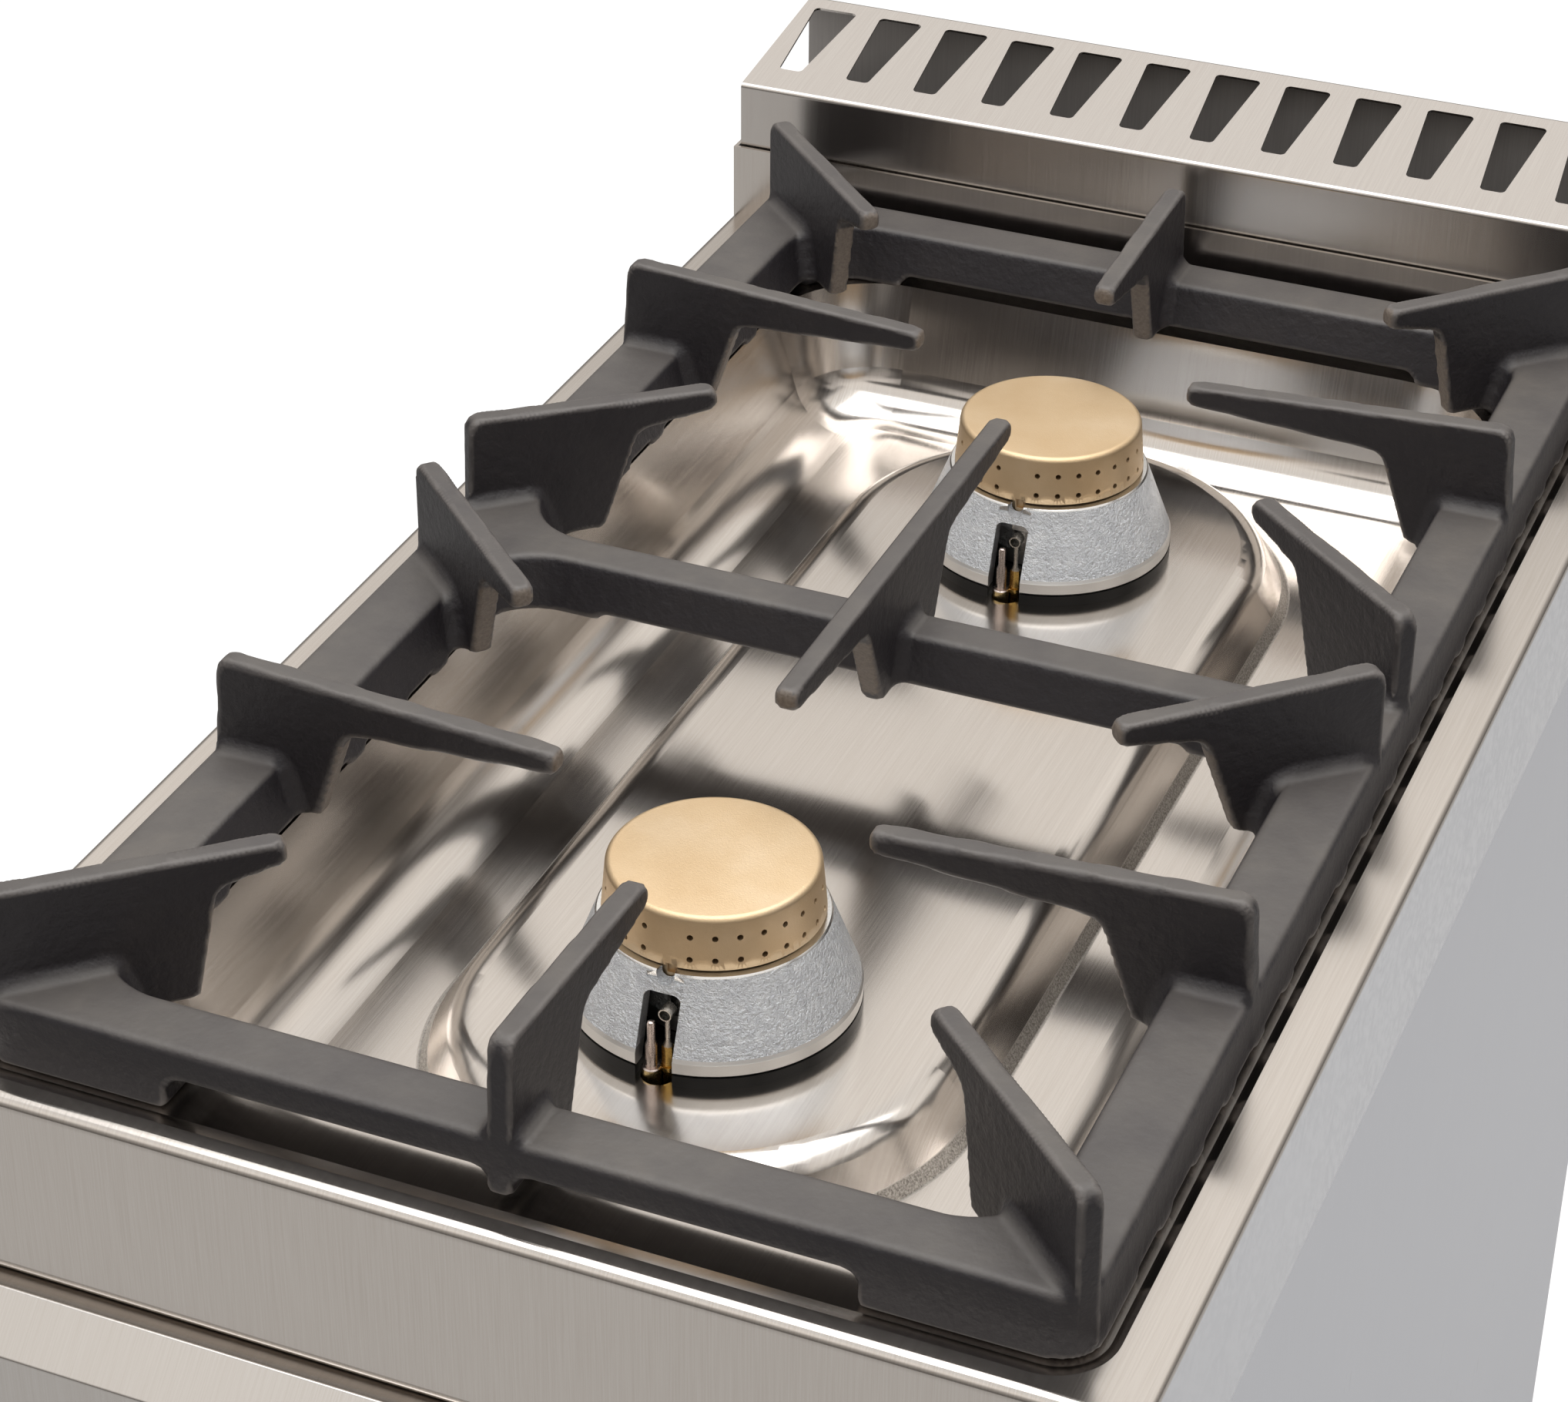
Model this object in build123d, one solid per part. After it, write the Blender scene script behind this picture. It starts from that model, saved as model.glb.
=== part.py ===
from build123d import *
import os
from math import atan2, cos, degrees, radians, sin, tan

# A free-standing catering cooktop, 400 mm wide: two gas burners one behind the other in a
# pressed stainless top, under one cast-iron pan support, on a body with an open compartment.
# All sizes are in millimetres.
#
# The pieces are drawn in worktop coordinates: x = 0 on the centre line, +x to the right of
# someone who stands in front; y = 0 on the front burner's axis, +y to the rear; z = 0 on the
# worktop's upper surface. At the end everything is lifted to stand on the floor.

# ---------------------------------------------------------------- driving dimensions
WIDTH = 400.0                # module width
DECK_HEIGHT = 870.0          # worktop above the floor
BURNER_PITCH = 318.3         # front burner axis to rear burner axis
FRONT_MARGIN = 171.8         # nose of the worktop to the front burner axis
REAR_MARGIN = 158.7          # rear burner axis to the rear upstand
FLUE_DEPTH = 81.7            # rear upstand to the back of the flue
NOSE_HEIGHT = 70.5
APRON_HEIGHT = 68.0          # side skirt of the worktop
UPSTAND_HEIGHT = 30.6
FLUE_FRONT_HEIGHT = 58.6     # front edge of the flue cover above the deck
FLUE_REAR_HEIGHT = 69.3
CONTROL_PANEL_DROP = 232.0   # underside of the control panel below the deck
CONTROL_PANEL_REACH = 18.2   # control panel ahead of the nose
CONTROL_LEDGE = 14.5         # height and depth of the sloping ledge
LEG_HEIGHT = 150.0           # floor to the underside of the body
FLOOR_GAP_TO_TUBE = 20.0     # floor to the lower end of the leg tubes

# sheet thicknesses
TOP_SHEET = 1.5
PANEL_SHEET = 1.2
COVER_SHEET = 1.0

# pressed recess, well and island in the worktop
RIM_SIDE = 16.0              # module edge to the recess's upper edge
RIM_FRONT = 8.8              # nose to the recess's upper edge
RIM_REAR = 1.7               # upstand to the recess's upper edge
RIM_DEPTH = 3.5
RIM_RUN_SIDE = 4.0
RIM_RUN_FRONT = 8.0
RIM_RUN_REAR = 2.2
RIM_CORNER = 16.0
WELL_LEDGE_SIDE = 31.0       # width of the ledge that carries the pan support, at the sides
WELL_LEDGE_END = 27.0        # and at the front and rear
WELL_CORNER = 44.0
WELL_DEPTH = 55.0
WELL_DRAFT = 16.0            # degrees
WELL_FLOOR_RADIUS = 24.0
WELL_LIP_RADIUS = 6.0
ISLAND_HALF_WIDTH = 93.4     # at the well floor
ISLAND_STEP = 5.0            # height of the steep foot round the island
ISLAND_STEP_RUN = 2.9
ISLAND_OVERRUN = 5.0         # ends of the island's centre line beyond the burner axes
ISLAND_TOP_DEPTH = 34.5      # top of the island below the deck
ISLAND_DRAFT = 33.0          # degrees
ISLAND_SHOULDER = 12.0

# flue
FLUE_INSET = 2.2             # cover inside the worktop's sides
FLUE_COVER_GAP = 1.2         # worktop's upstand to the cover's front
FLUE_COVER_TUCK = 12.0       # cover below the deck, behind the upstand
FLUE_LIP = 22.0              # cover down the back
FLUE_SLOT_COUNT = 13
FLUE_SLOT_PITCH = 30.4
FLUE_SLOT_REAR_WIDTH = 19.6
FLUE_SLOT_FRONT_WIDTH = 10.0
FLUE_SLOT_LENGTH = 53.0
FLUE_SLOT_FROM_FRONT = 17.0
FLUE_SLOT_CORNER = 2.2

# burners
CAP_SKIRT_RADIUS = 36.0      # foot of the cap, in its seat
CAP_SKIRT_Z = 2.0            # the flank starts here
CAP_TOP_Z = 20.8
CAP_TAPER = 1.7              # the flank leans in by this much
CAP_WALL = 4.0
CAP_ROUND = 2.2
SEAT_Z = -4.0                # the cap's seat inside the burner body
SEAT_CLEARANCE = 0.4
RIM_TOP_Z = 1.0
RIM_WIDTH = 1.2              # turned face round the seat
BODY_RADIUS = 48.3
BODY_WIDE_Z = -27.6          # widest place, above the turned foot
BODY_FOOT_Z = -30.5
BODY_FOOT_CHAMFER = 1.5
BODY_WALL = 4.5
PORT_COLUMNS = 28
PORT_TURN = -1.5             # degrees, port columns about the pilot notch
PORT_RADIUS = 1.0
PORT_ROWS_Z = (5.8, 13.6)
PILOT_SLOT_WIDTH = 12.6      # slot at the front of the burner body
PILOT_SLOT_TOP_Z = -5.5
PILOT_SLOT_CORNER = 2.5
NOTCH_WIDTH = 5.6            # notch in the rim, over the slot
CUP_INSET = 0.3              # black cup inside the burner's foot
THROAT_RADIUS = 30.0
THROAT_WALL = 3.0
SPIGOT_CLEARANCE = 0.4
CHAMBER_RADIUS = 36.0
CHAMBER_TOP_Z = -62.0
CHAMBER_BOTTOM_Z = -118.0
MIXER_Z = -92.0              # axis of the mixing tubes
MIXER_LENGTH = 92.0
MIXER_MOUTH_RADIUS = 17.0
MIXER_THROAT_RADIUS = 12.0
MIXER_WALL = 3.0
MIXER_ENTRY = 8.0            # length of the mixing tube inside the cup's chamber
INJECTOR_GAP = 9.0           # mouth of the mixing tube to the injector
INJECTOR_NOZZLE = 12.0
INJECTOR_RADIUS = 4.5
JET_RADIUS = 0.6
INJECTOR_HOLDER = 15.0
FEED_ENTRY = 8.0             # depth of the feed tube in the injector's holder
BRIDGE_WIDTH = 60.0          # cross-member under each burner
BRIDGE_FLANGE = 30.0
BRIDGE_ARM_WIDTH = 28.0      # arm that holds the injector
PILOT_HOLE_RADIUS = 5.5      # hole in the island for pilot and thermocouple
PILOT_HOLE_INSET = 4.3       # its middle inside the burner's foot
THERMOCOUPLE_X = -2.2
THERMOCOUPLE_TIP_Z = -14.7
PROBE_TIP_RADIUS = 0.9
PROBE_RADIUS = 2.0
PROBE_NUT_RADIUS = 3.2
PROBE_NUT_TOP_Z = -31.0
PROBE_NUT_HEIGHT = 7.0
PROBE_TAIL_RADIUS = 1.6
PROBE_TAIL_LENGTH = 16.0
PILOT_X = 2.6
PILOT_BEHIND = 2.0           # pilot tube behind the hole's centre
PILOT_RISER_RADIUS = 1.1
PILOT_BEND_Z = -15.0         # the tip turns towards the thermocouple here
PILOT_BEND_RADIUS = 2.0
PILOT_TIP = (-3.6, 0, -11.0)
PILOT_NUT_RADIUS = 2.2
PILOT_NUT_TOP_Z = -28.0
PILOT_NUT_HEIGHT = 6.0
PILOT_PORT_X = 9.0           # pilot outlet of a tap, right of its stem
PILOT_LOW_Z = -54.0          # lower ends of pilot burner and thermocouple
LEAD_TOP_Z = -54.0

# pan support
GRATE_CLEARANCE = 1.5        # pan support to the foot of the recess
GRATE_DRAFT = 4.0            # degrees, outer faces
GRATE_BAR_HEIGHT = 22.5      # feet to the top of the bars
GRATE_HEIGHT = 56.5          # feet to the finger tops at the outer ends
GRATE_CORNER = 14.0
GRATE_SIDE_BAR = 24.5        # bar widths across their tops
GRATE_END_BAR = 21.5
GRATE_CROSS_BAR = 16.0
GRATE_WINDOW_DRAFT = 16.0    # degrees
GRATE_WINDOW_CORNER = 28.0
GRATE_FOOT = 3.0             # height of the feet under the bars
GRATE_BAR_EDGE = 3.0
FINGER = 8.0                 # thickness of the fingers
FINGER_HEEL_RADIUS = 5.0
FINGER_TIP_RADIUS = 2.4
FINGER_WEB_RADIUS = 6.0
HEEL_LEAN = 3.7              # the fingers' outer ends lean inwards
DIAGONAL_LEAN = 2.0
SIDE_FINGER_TIP = 53.0       # finger tips to the burner axis
END_FINGER_TIP = 57.0
SIDE_FINGER_DROP = 7.0       # slope of the finger tops, outer end to tip
END_FINGER_DROP = 4.5
SIDE_WEB = (128.0, 140.0)    # a finger's web to the burner axis, at its top and at its foot
END_WEB = (102.0, 113.0)
MIDDLE_WEB = (39.0, 24.0)    # web of the middle finger to the cross-bar's middle
MIDDLE_WEB_DEPTH = 13.0
TIP_DEPTH = 7.5              # height of a finger at its tip
STRAIGHT_WEB_DEPTH = 18.5    # height of a finger where its web starts
DIAGONAL_DROP = 2.8
DIAGONAL_TIP_DEPTH = 7.7
DIAGONAL_WEB_DEPTH = 11.8
CORNER_REACH = 96.4          # length of the diagonal fingers from the corners
CORNER_WEB = (74.0, 66.0)    # their web to their heel, at its top and at its foot
CORNER_AIM = (0.72, 0.694)
CORNER_HEEL_Y = 5.6          # their heel behind the frame's front
INNER_REACH = 96.2           # length of the diagonal fingers beside the cross-bar
INNER_WEB = (66.0, 52.0)
INNER_AIM = (0.741, 0.671)
INNER_HEEL_Y = 15.0          # their heel ahead of the cross-bar's middle
DIAGONAL_HEEL_X = 2.8
CASTELLATION_PITCH = 30.6
CASTELLATION_WIDTH = 20.0
RELIEF_HALF_WIDTH = 110.0
FRONT_RELIEF = 11.0          # height of the relief under the front bar
REAR_RELIEF = 5.0

# controls
KNOB_X = 95.0                # knobs either side of the centre line
KNOB_Z = -165.0
KNOB_RADIUS = 33.0
KNOB_SKIRT = 7.0
KNOB_LENGTH = 34.0
KNOB_GRIP_WIDTH = 17.0
KNOB_SCOOP_RADIUS = 26.0
KNOB_SOCKET = 16.0           # stem inside the knob
KNOB_WALL = 3.0
KNOB_GAP = 6.5               # knob's back to the control panel: room to push
STEM_RADIUS = 4.0
RUNNING_CLEARANCE = 0.05     # radial, shaft to hole
PANEL_HOLE_CLEARANCE = 2.0
BEZEL_RADIUS = 24.0
BEZEL_HEIGHT = 1.2
VALVE_BODY = (34.0, 42.0, 32.0)
VALVE_GAP = 8.0              # control panel to the tap's block
FEED_PORT_BACK = 30.0        # gas outlet behind the block's front
PILOT_PORT_BACK = 14.0
FEED_PORT_RISE = 12.0        # outlets above the block
PILOT_PORT_RISE = 7.0
STEM_ENTRY = 4.0             # stem inside the block
PLUNGER_RADIUS = 3.0
PLUNGER_STOP = 6.0           # plunger's bore ends before the block's rear
PLUNGER_TRAVEL = 5.0
TUBE_ENTRY = 3.0             # depth of a tube's end in its fitting
BONNET_RADIUS = 11.0
MAGNET_RADIUS = 8.5
MAGNET_LENGTH = 30.0
PIPE_RADIUS = 10.65          # half-inch gas pipe
PIPE_WALL = 2.6
PIPE_BEND = 34.0
PIPE_START = 40.0            # pipe's closed end left of the left tap
PIPE_CAP = 4.0
MANIFOLD_Y = -152.0
MANIFOLD_Z = -205.0
INLET_X = 165.0
PIPE_PROUD = 3.0             # pipe behind the back panel
INLET_HEXAGON = 9.0
INLET_HEXAGON_RADIUS = 15.0
THREAD_RADIUS = 10.48        # R 1/2 gas thread
THREAD_LENGTH = 19.0
FEED_RADIUS = 4.0            # gas feed to each burner
FEED_BEND = 16.0
PILOT_TUBE_RADIUS = 2.0
LEAD_RADIUS = 1.4
SMALL_BEND = 10.0

# legs
LEG_RADIUS = 25.4
LEG_WALL = 1.5
LEG_PLATE = 80.0
LEG_PLATE_SHEET = 3.0
LEG_INSET = 46.0             # leg axes from the sides and the back
LEG_INSET_FRONT = 58.0
LEG_BOLT_SPACING = 62.0
LEG_BOLT_RADIUS = 3.0
LEG_BOLT_HEAD = (5.5, 3.0)    # radius, height
POST_WIDTH = 30.0            # front edge of the side panels
POST_DEPTH = 14.0
SIDE_RETURN = 16.0           # rear edge of the side panels
SHELF_RISE = 30.0            # compartment floor above the body's lower edge
FOOT_STEM_RADIUS = 8.0
FOOT_PAD_RADIUS = 25.0
FOOT_PAD_HEIGHT = 8.0
FOOT_STEM_LENGTH = 90.0
PLUG_HEIGHT = 14.0
BACK_SCREW_RADIUS = 2.0
BACK_SCREW_HEAD = (4.2, 2.2)
BACK_SCREW_INSET = 9.0       # screw axes from the sides
BACK_SCREWS_A_SIDE = 4

# ---------------------------------------------------------------- places worked out from them
HALF = WIDTH / 2
NOSE_Y = -FRONT_MARGIN
UPSTAND_Y = BURNER_PITCH + REAR_MARGIN
REAR_Y = UPSTAND_Y + FLUE_DEPTH
PANEL_FACE_Y = NOSE_Y - CONTROL_PANEL_REACH
CABINET_FRONT_Y = NOSE_Y + 2.0
BACK_SHEET_Y = REAR_Y - COVER_SHEET           # outer face of the back panel
CONTROL_BACK_Y = NOSE_Y + 24.0
BODY_BOTTOM_Z = LEG_HEIGHT - DECK_HEIGHT
FLOOR_Z = -DECK_HEIGHT
CEILING_Z = -CONTROL_PANEL_DROP               # upper face of the sheet over the compartment
GRATE_BASE_Z = -RIM_DEPTH
GRATE_BAR_Z = GRATE_BASE_Z + GRATE_BAR_HEIGHT
GRATE_TOP_Z = GRATE_BASE_Z + GRATE_HEIGHT
CAP_TOP_RADIUS = CAP_SKIRT_RADIUS - CAP_TAPER
SEAT_RADIUS = CAP_SKIRT_RADIUS + SEAT_CLEARANCE
RIM_OUTER_RADIUS = SEAT_RADIUS + RIM_WIDTH
CUP_RADIUS = BODY_RADIUS - CUP_INSET
PILOT_HOLE_Y = PILOT_HOLE_INSET - BODY_RADIUS
THERMOCOUPLE_Y = PILOT_HOLE_Y
PILOT_Y = PILOT_HOLE_Y + PILOT_BEHIND
VALVE_FRONT_Y = PANEL_FACE_Y + PANEL_SHEET + VALVE_GAP
VALVE_REAR_Y = VALVE_FRONT_Y + VALVE_BODY[1]
VALVE_TOP_Z = KNOB_Z + VALVE_BODY[2] / 2
VALVE_LOW_Z = KNOB_Z - VALVE_BODY[2] / 2
KNOB_BACK_Y = PANEL_FACE_Y - KNOB_GAP
FEED_PORT_Y = VALVE_FRONT_Y + FEED_PORT_BACK
PILOT_PORT_Y = VALVE_FRONT_Y + PILOT_PORT_BACK
STEM_END_Y = VALVE_FRONT_Y + STEM_ENTRY
OUTLET_TOP_Z = VALVE_TOP_Z + FEED_PORT_RISE
PILOT_TOP_Z = VALVE_TOP_Z + PILOT_PORT_RISE
BURNERS = {"front": (0.0, -KNOB_X), "rear": (BURNER_PITCH, KNOB_X)}


# ---------------------------------------------------------------- drawing helpers
def block(x0, x1, y0, y1, z0, z1):
    """A box between two corners."""
    size = Box(x1 - x0, y1 - y0, z1 - z0)
    return Pos((x0 + x1) / 2, (y0 + y1) / 2, (z0 + z1) / 2) * size


def plan_rectangle(half_width, y_front, y_rear, corner, z):
    """A rounded rectangle seen from above, at height z."""
    place = Pos(0, (y_front + y_rear) / 2, z)
    return place * RectangleRounded(2 * half_width, y_rear - y_front, corner)


def turned(profile):
    """A solid of revolution about z from points (radius, z)."""
    section_face = make_face(Plane.XZ * Polyline(*profile, close=True))
    return revolve(section_face, Axis.Z)


def folded_sheet(points, bend, thickness, half_width):
    """A sheet folded along its middle line, points (y, z), across the cooktop's width."""
    section_face = Plane.YZ * trace(FilletPolyline(*points, radius=bend), thickness)
    return extrude(section_face, half_width, both=True)


def tube(points, bend, radius, wall=0.0):
    """A round tube or rod: straight runs joined by tangent arcs."""
    path = FilletPolyline(*points, radius=bend)
    ring = Circle(radius)
    if wall:
        ring = ring - Circle(radius - wall)
    return sweep((path ^ 0) * ring, path=path)


def burner_place(y):
    return Pos(0, y, 0)


# ---------------------------------------------------------------- worktop
def worktop_volume(inset):
    """Everything under the worktop's skin; inset moves the skin inwards by a sheet."""
    low = -APRON_HEIGHT - (20.0 if inset else 0.0)
    over = 20.0 if inset else 0.0
    deck = block(-HALF + inset, HALF - inset, NOSE_Y + inset, REAR_Y + over, low, -inset)
    long_edges = deck.edges().filter_by(Axis.Y).group_by(Axis.Z)[-1]
    deck = fillet(long_edges, 3.0 - inset)
    front_edge = deck.edges().filter_by(Axis.X).group_by(Axis.Z)[-1].sort_by(Axis.Y)[0]
    deck = fillet(front_edge, 4.0 - inset)
    collar = block(-HALF + inset, HALF - inset, UPSTAND_Y + inset, REAR_Y + over,
                   -20.0, UPSTAND_HEIGHT + over)
    return deck + collar - recess(inset) - well(inset) + island(inset)


def recess(inset):
    """The shallow step that the pan support stands in."""
    top = plan_rectangle(HALF - RIM_SIDE + inset, NOSE_Y + RIM_FRONT - inset,
                         UPSTAND_Y - RIM_REAR + inset, RIM_CORNER + RIM_RUN_SIDE, 0.1)
    foot = plan_rectangle(HALF - RIM_SIDE - RIM_RUN_SIDE + inset,
                          NOSE_Y + RIM_FRONT + RIM_RUN_FRONT - inset,
                          UPSTAND_Y - RIM_REAR - RIM_RUN_REAR + inset,
                          RIM_CORNER, -RIM_DEPTH - inset)
    return loft([foot, top], ruled=True)


def well(inset):
    """The deep-drawn well inside the ledge."""
    half_width = HALF - RIM_SIDE - RIM_RUN_SIDE - WELL_LEDGE_SIDE
    front = NOSE_Y + RIM_FRONT + RIM_RUN_FRONT + WELL_LEDGE_END
    rear = UPSTAND_Y - RIM_REAR - RIM_RUN_REAR - WELL_LEDGE_END
    mouth = plan_rectangle(half_width + inset, front - inset, rear + inset,
                           WELL_CORNER + inset, -RIM_DEPTH)
    depth = WELL_DEPTH - RIM_DEPTH + inset
    pocket = extrude(mouth, -depth, taper=WELL_DRAFT)
    floor_edges = pocket.edges().group_by(Axis.Z)[0]
    pocket = fillet(floor_edges, WELL_FLOOR_RADIUS + inset)
    return pocket + extrude(mouth, RIM_DEPTH)


def stadium(half_width, z):
    """Plan of the island: one round end behind each burner."""
    length = BURNER_PITCH + 2 * ISLAND_OVERRUN
    return Pos(0, BURNER_PITCH / 2, z) * Rot(0, 0, 90) * SlotCenterToCenter(length, 2 * half_width)


def island(inset):
    """The raised island that carries both burners."""
    floor = -WELL_DEPTH - inset
    top = -ISLAND_TOP_DEPTH - inset
    shelf = -WELL_DEPTH + ISLAND_STEP - inset
    root_half = ISLAND_HALF_WIDTH - inset
    step_taper = degrees(atan2(ISLAND_STEP_RUN, ISLAND_STEP))
    step = extrude(stadium(root_half, floor), shelf - floor, taper=step_taper)
    upper_half = root_half - ISLAND_STEP_RUN
    hill = extrude(stadium(upper_half, shelf), top - shelf, taper=ISLAND_DRAFT)
    hill = fillet(hill.edges().group_by(Axis.Z)[-1], ISLAND_SHOULDER - inset)
    root = extrude(stadium(root_half, floor), -30.0)
    return step + hill + root if inset else step + hill


def nose_curl():
    """The rolled lower edge of the nose."""
    mid = TOP_SHEET / 2
    inner_z = -NOSE_HEIGHT + mid
    path = [(NOSE_Y + mid, -APRON_HEIGHT + 12.0), (NOSE_Y + mid, inner_z), (NOSE_Y + 16.0, inner_z)]
    return folded_sheet(path, 5.8, TOP_SHEET, HALF - TOP_SHEET)


def make_worktop():
    skin = worktop_volume(0.0) - worktop_volume(TOP_SHEET)
    skin = skin - block(-HALF + TOP_SHEET, HALF - TOP_SHEET, NOSE_Y - 1.0, NOSE_Y + TOP_SHEET,
                        -APRON_HEIGHT - 1.0, -APRON_HEIGHT + 12.0)
    skin = skin + nose_curl()
    for y, _ in BURNERS.values():
        throat = Cylinder(THROAT_RADIUS + THROAT_WALL + SPIGOT_CLEARANCE, 30.0)
        skin = skin - Pos(0, y, -ISLAND_TOP_DEPTH) * throat
        skin = skin - Pos(0, y + PILOT_HOLE_Y, -ISLAND_TOP_DEPTH) * Cylinder(PILOT_HOLE_RADIUS, 30.0)
    return skin


# ---------------------------------------------------------------- flue
def make_flue_cover():
    """Folded cover: front face, sloping slotted top and a lip down the back."""
    mid = COVER_SHEET / 2
    front_y = UPSTAND_Y + TOP_SHEET + FLUE_COVER_GAP
    path = [(front_y + mid, -FLUE_COVER_TUCK), (front_y + mid, FLUE_FRONT_HEIGHT - mid),
            (REAR_Y - mid, FLUE_REAR_HEIGHT - mid), (REAR_Y - mid, FLUE_REAR_HEIGHT - FLUE_LIP)]
    cover = folded_sheet(path, 1.6, COVER_SHEET, HALF - FLUE_INSET)
    slope = atan2(FLUE_REAR_HEIGHT - FLUE_FRONT_HEIGHT, REAR_Y - front_y)
    top = Plane(origin=(0, front_y, FLUE_FRONT_HEIGHT), x_dir=(1, 0, 0), z_dir=(0, -sin(slope), cos(slope)))
    near = FLUE_SLOT_FROM_FRONT
    far = FLUE_SLOT_FROM_FRONT + FLUE_SLOT_LENGTH
    front_half = FLUE_SLOT_FRONT_WIDTH / 2
    rear_half = FLUE_SLOT_REAR_WIDTH / 2
    slot = make_face(Polyline((-front_half, near), (front_half, near), (rear_half, far), (-rear_half, far),
                              close=True))
    slot = fillet(slot.vertices(), FLUE_SLOT_CORNER)
    cutter = extrude(top * slot, 8.0, both=True)
    middle_slot = (FLUE_SLOT_COUNT - 1) / 2
    return cover - [Pos((i - middle_slot) * FLUE_SLOT_PITCH, 0, 0) * cutter for i in range(FLUE_SLOT_COUNT)]


# ---------------------------------------------------------------- pan support
def nearest(face, point):
    """The corner of a drawn face that lies nearest to a point."""
    return face.vertices().sort_by_distance((point[0], point[1], 0))[0]


def rounded_corners(face, points, radius):
    """The face with the corners at these points rounded."""
    for point in points:
        face = fillet(nearest(face, point), radius)
    return face


def finger(outline, place):
    """A plate finger from its side outline: foot, top, tip top, tip underside, web top, web foot."""
    foot, top, tip_top, tip_low, web_top, web_foot = outline
    face = make_face(Polyline(foot, top, tip_top, tip_low, web_top, web_foot, close=True))
    face = rounded_corners(face, [top], FINGER_HEEL_RADIUS)
    face = rounded_corners(face, [tip_top, tip_low], FINGER_TIP_RADIUS)
    face = rounded_corners(face, [web_top], FINGER_WEB_RADIUS)
    plate = extrude(Plane.XZ * face, FINGER / 2, both=True)
    return place * plate


def straight_outline(outer, tip, drop, web_top, web_foot):
    """Outline of a finger that points straight at a burner; distances are to the burner's axis."""
    tip_z = GRATE_TOP_Z - drop
    return [(0.0, 0.0), (HEEL_LEAN, GRATE_TOP_Z), (outer - tip, tip_z), (outer - tip, tip_z - TIP_DEPTH),
            (outer - web_top, GRATE_TOP_Z - STRAIGHT_WEB_DEPTH), (outer - web_foot, 0.0)]


def diagonal_outline(reach, web):
    """Outline of a diagonal finger; distances are from its heel."""
    tip_z = GRATE_TOP_Z - DIAGONAL_DROP
    return [(0.0, 0.0), (DIAGONAL_LEAN, GRATE_TOP_Z), (reach, tip_z), (reach, tip_z - DIAGONAL_TIP_DEPTH),
            (web[0], tip_z - DIAGONAL_WEB_DEPTH), (web[1], 0.0)]


def middle_finger(middle):
    """The plate across the cross-bar that points at both burners."""
    reach = middle - END_FINGER_TIP
    tip_z = GRATE_TOP_Z - END_FINGER_DROP
    half = [(reach, tip_z), (reach, tip_z - TIP_DEPTH), (MIDDLE_WEB[0], tip_z - MIDDLE_WEB_DEPTH),
            (MIDDLE_WEB[1], 0.0)]
    face = make_face(Polyline(*half, *[(-x, z) for x, z in reversed(half)], close=True))
    for side in (-1, 1):
        tip = [(side * reach, tip_z), (side * reach, tip_z - TIP_DEPTH)]
        face = rounded_corners(face, tip, FINGER_TIP_RADIUS)
        face = rounded_corners(face, [(side * MIDDLE_WEB[0], tip_z - MIDDLE_WEB_DEPTH)], FINGER_WEB_RADIUS)
    return Pos(0, middle, 0) * extrude(Plane.YZ * face, FINGER / 2, both=True)


def grate_frame(half, front, rear):
    """The flat frame: four bars and a cross-bar, with drafted windows."""
    middle = (front + rear) / 2
    base = plan_rectangle(half, front, rear, GRATE_CORNER, GRATE_BASE_Z)
    frame = extrude(base, GRATE_BAR_HEIGHT, taper=GRATE_DRAFT)
    lean = GRATE_BAR_HEIGHT * tan(radians(GRATE_DRAFT))
    windows = []
    for y0, y1 in ((front + lean + GRATE_END_BAR, middle - GRATE_CROSS_BAR / 2),
                   (middle + GRATE_CROSS_BAR / 2, rear - lean - GRATE_END_BAR)):
        opening = plan_rectangle(half - lean - GRATE_SIDE_BAR, y0, y1, GRATE_WINDOW_CORNER, GRATE_BAR_Z)
        windows.append(extrude(opening, -GRATE_BAR_HEIGHT - 1.0, taper=GRATE_WINDOW_DRAFT))
    frame = frame - windows
    return fillet(frame.faces().sort_by(Axis.Z)[-1].edges(), GRATE_BAR_EDGE)


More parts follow.
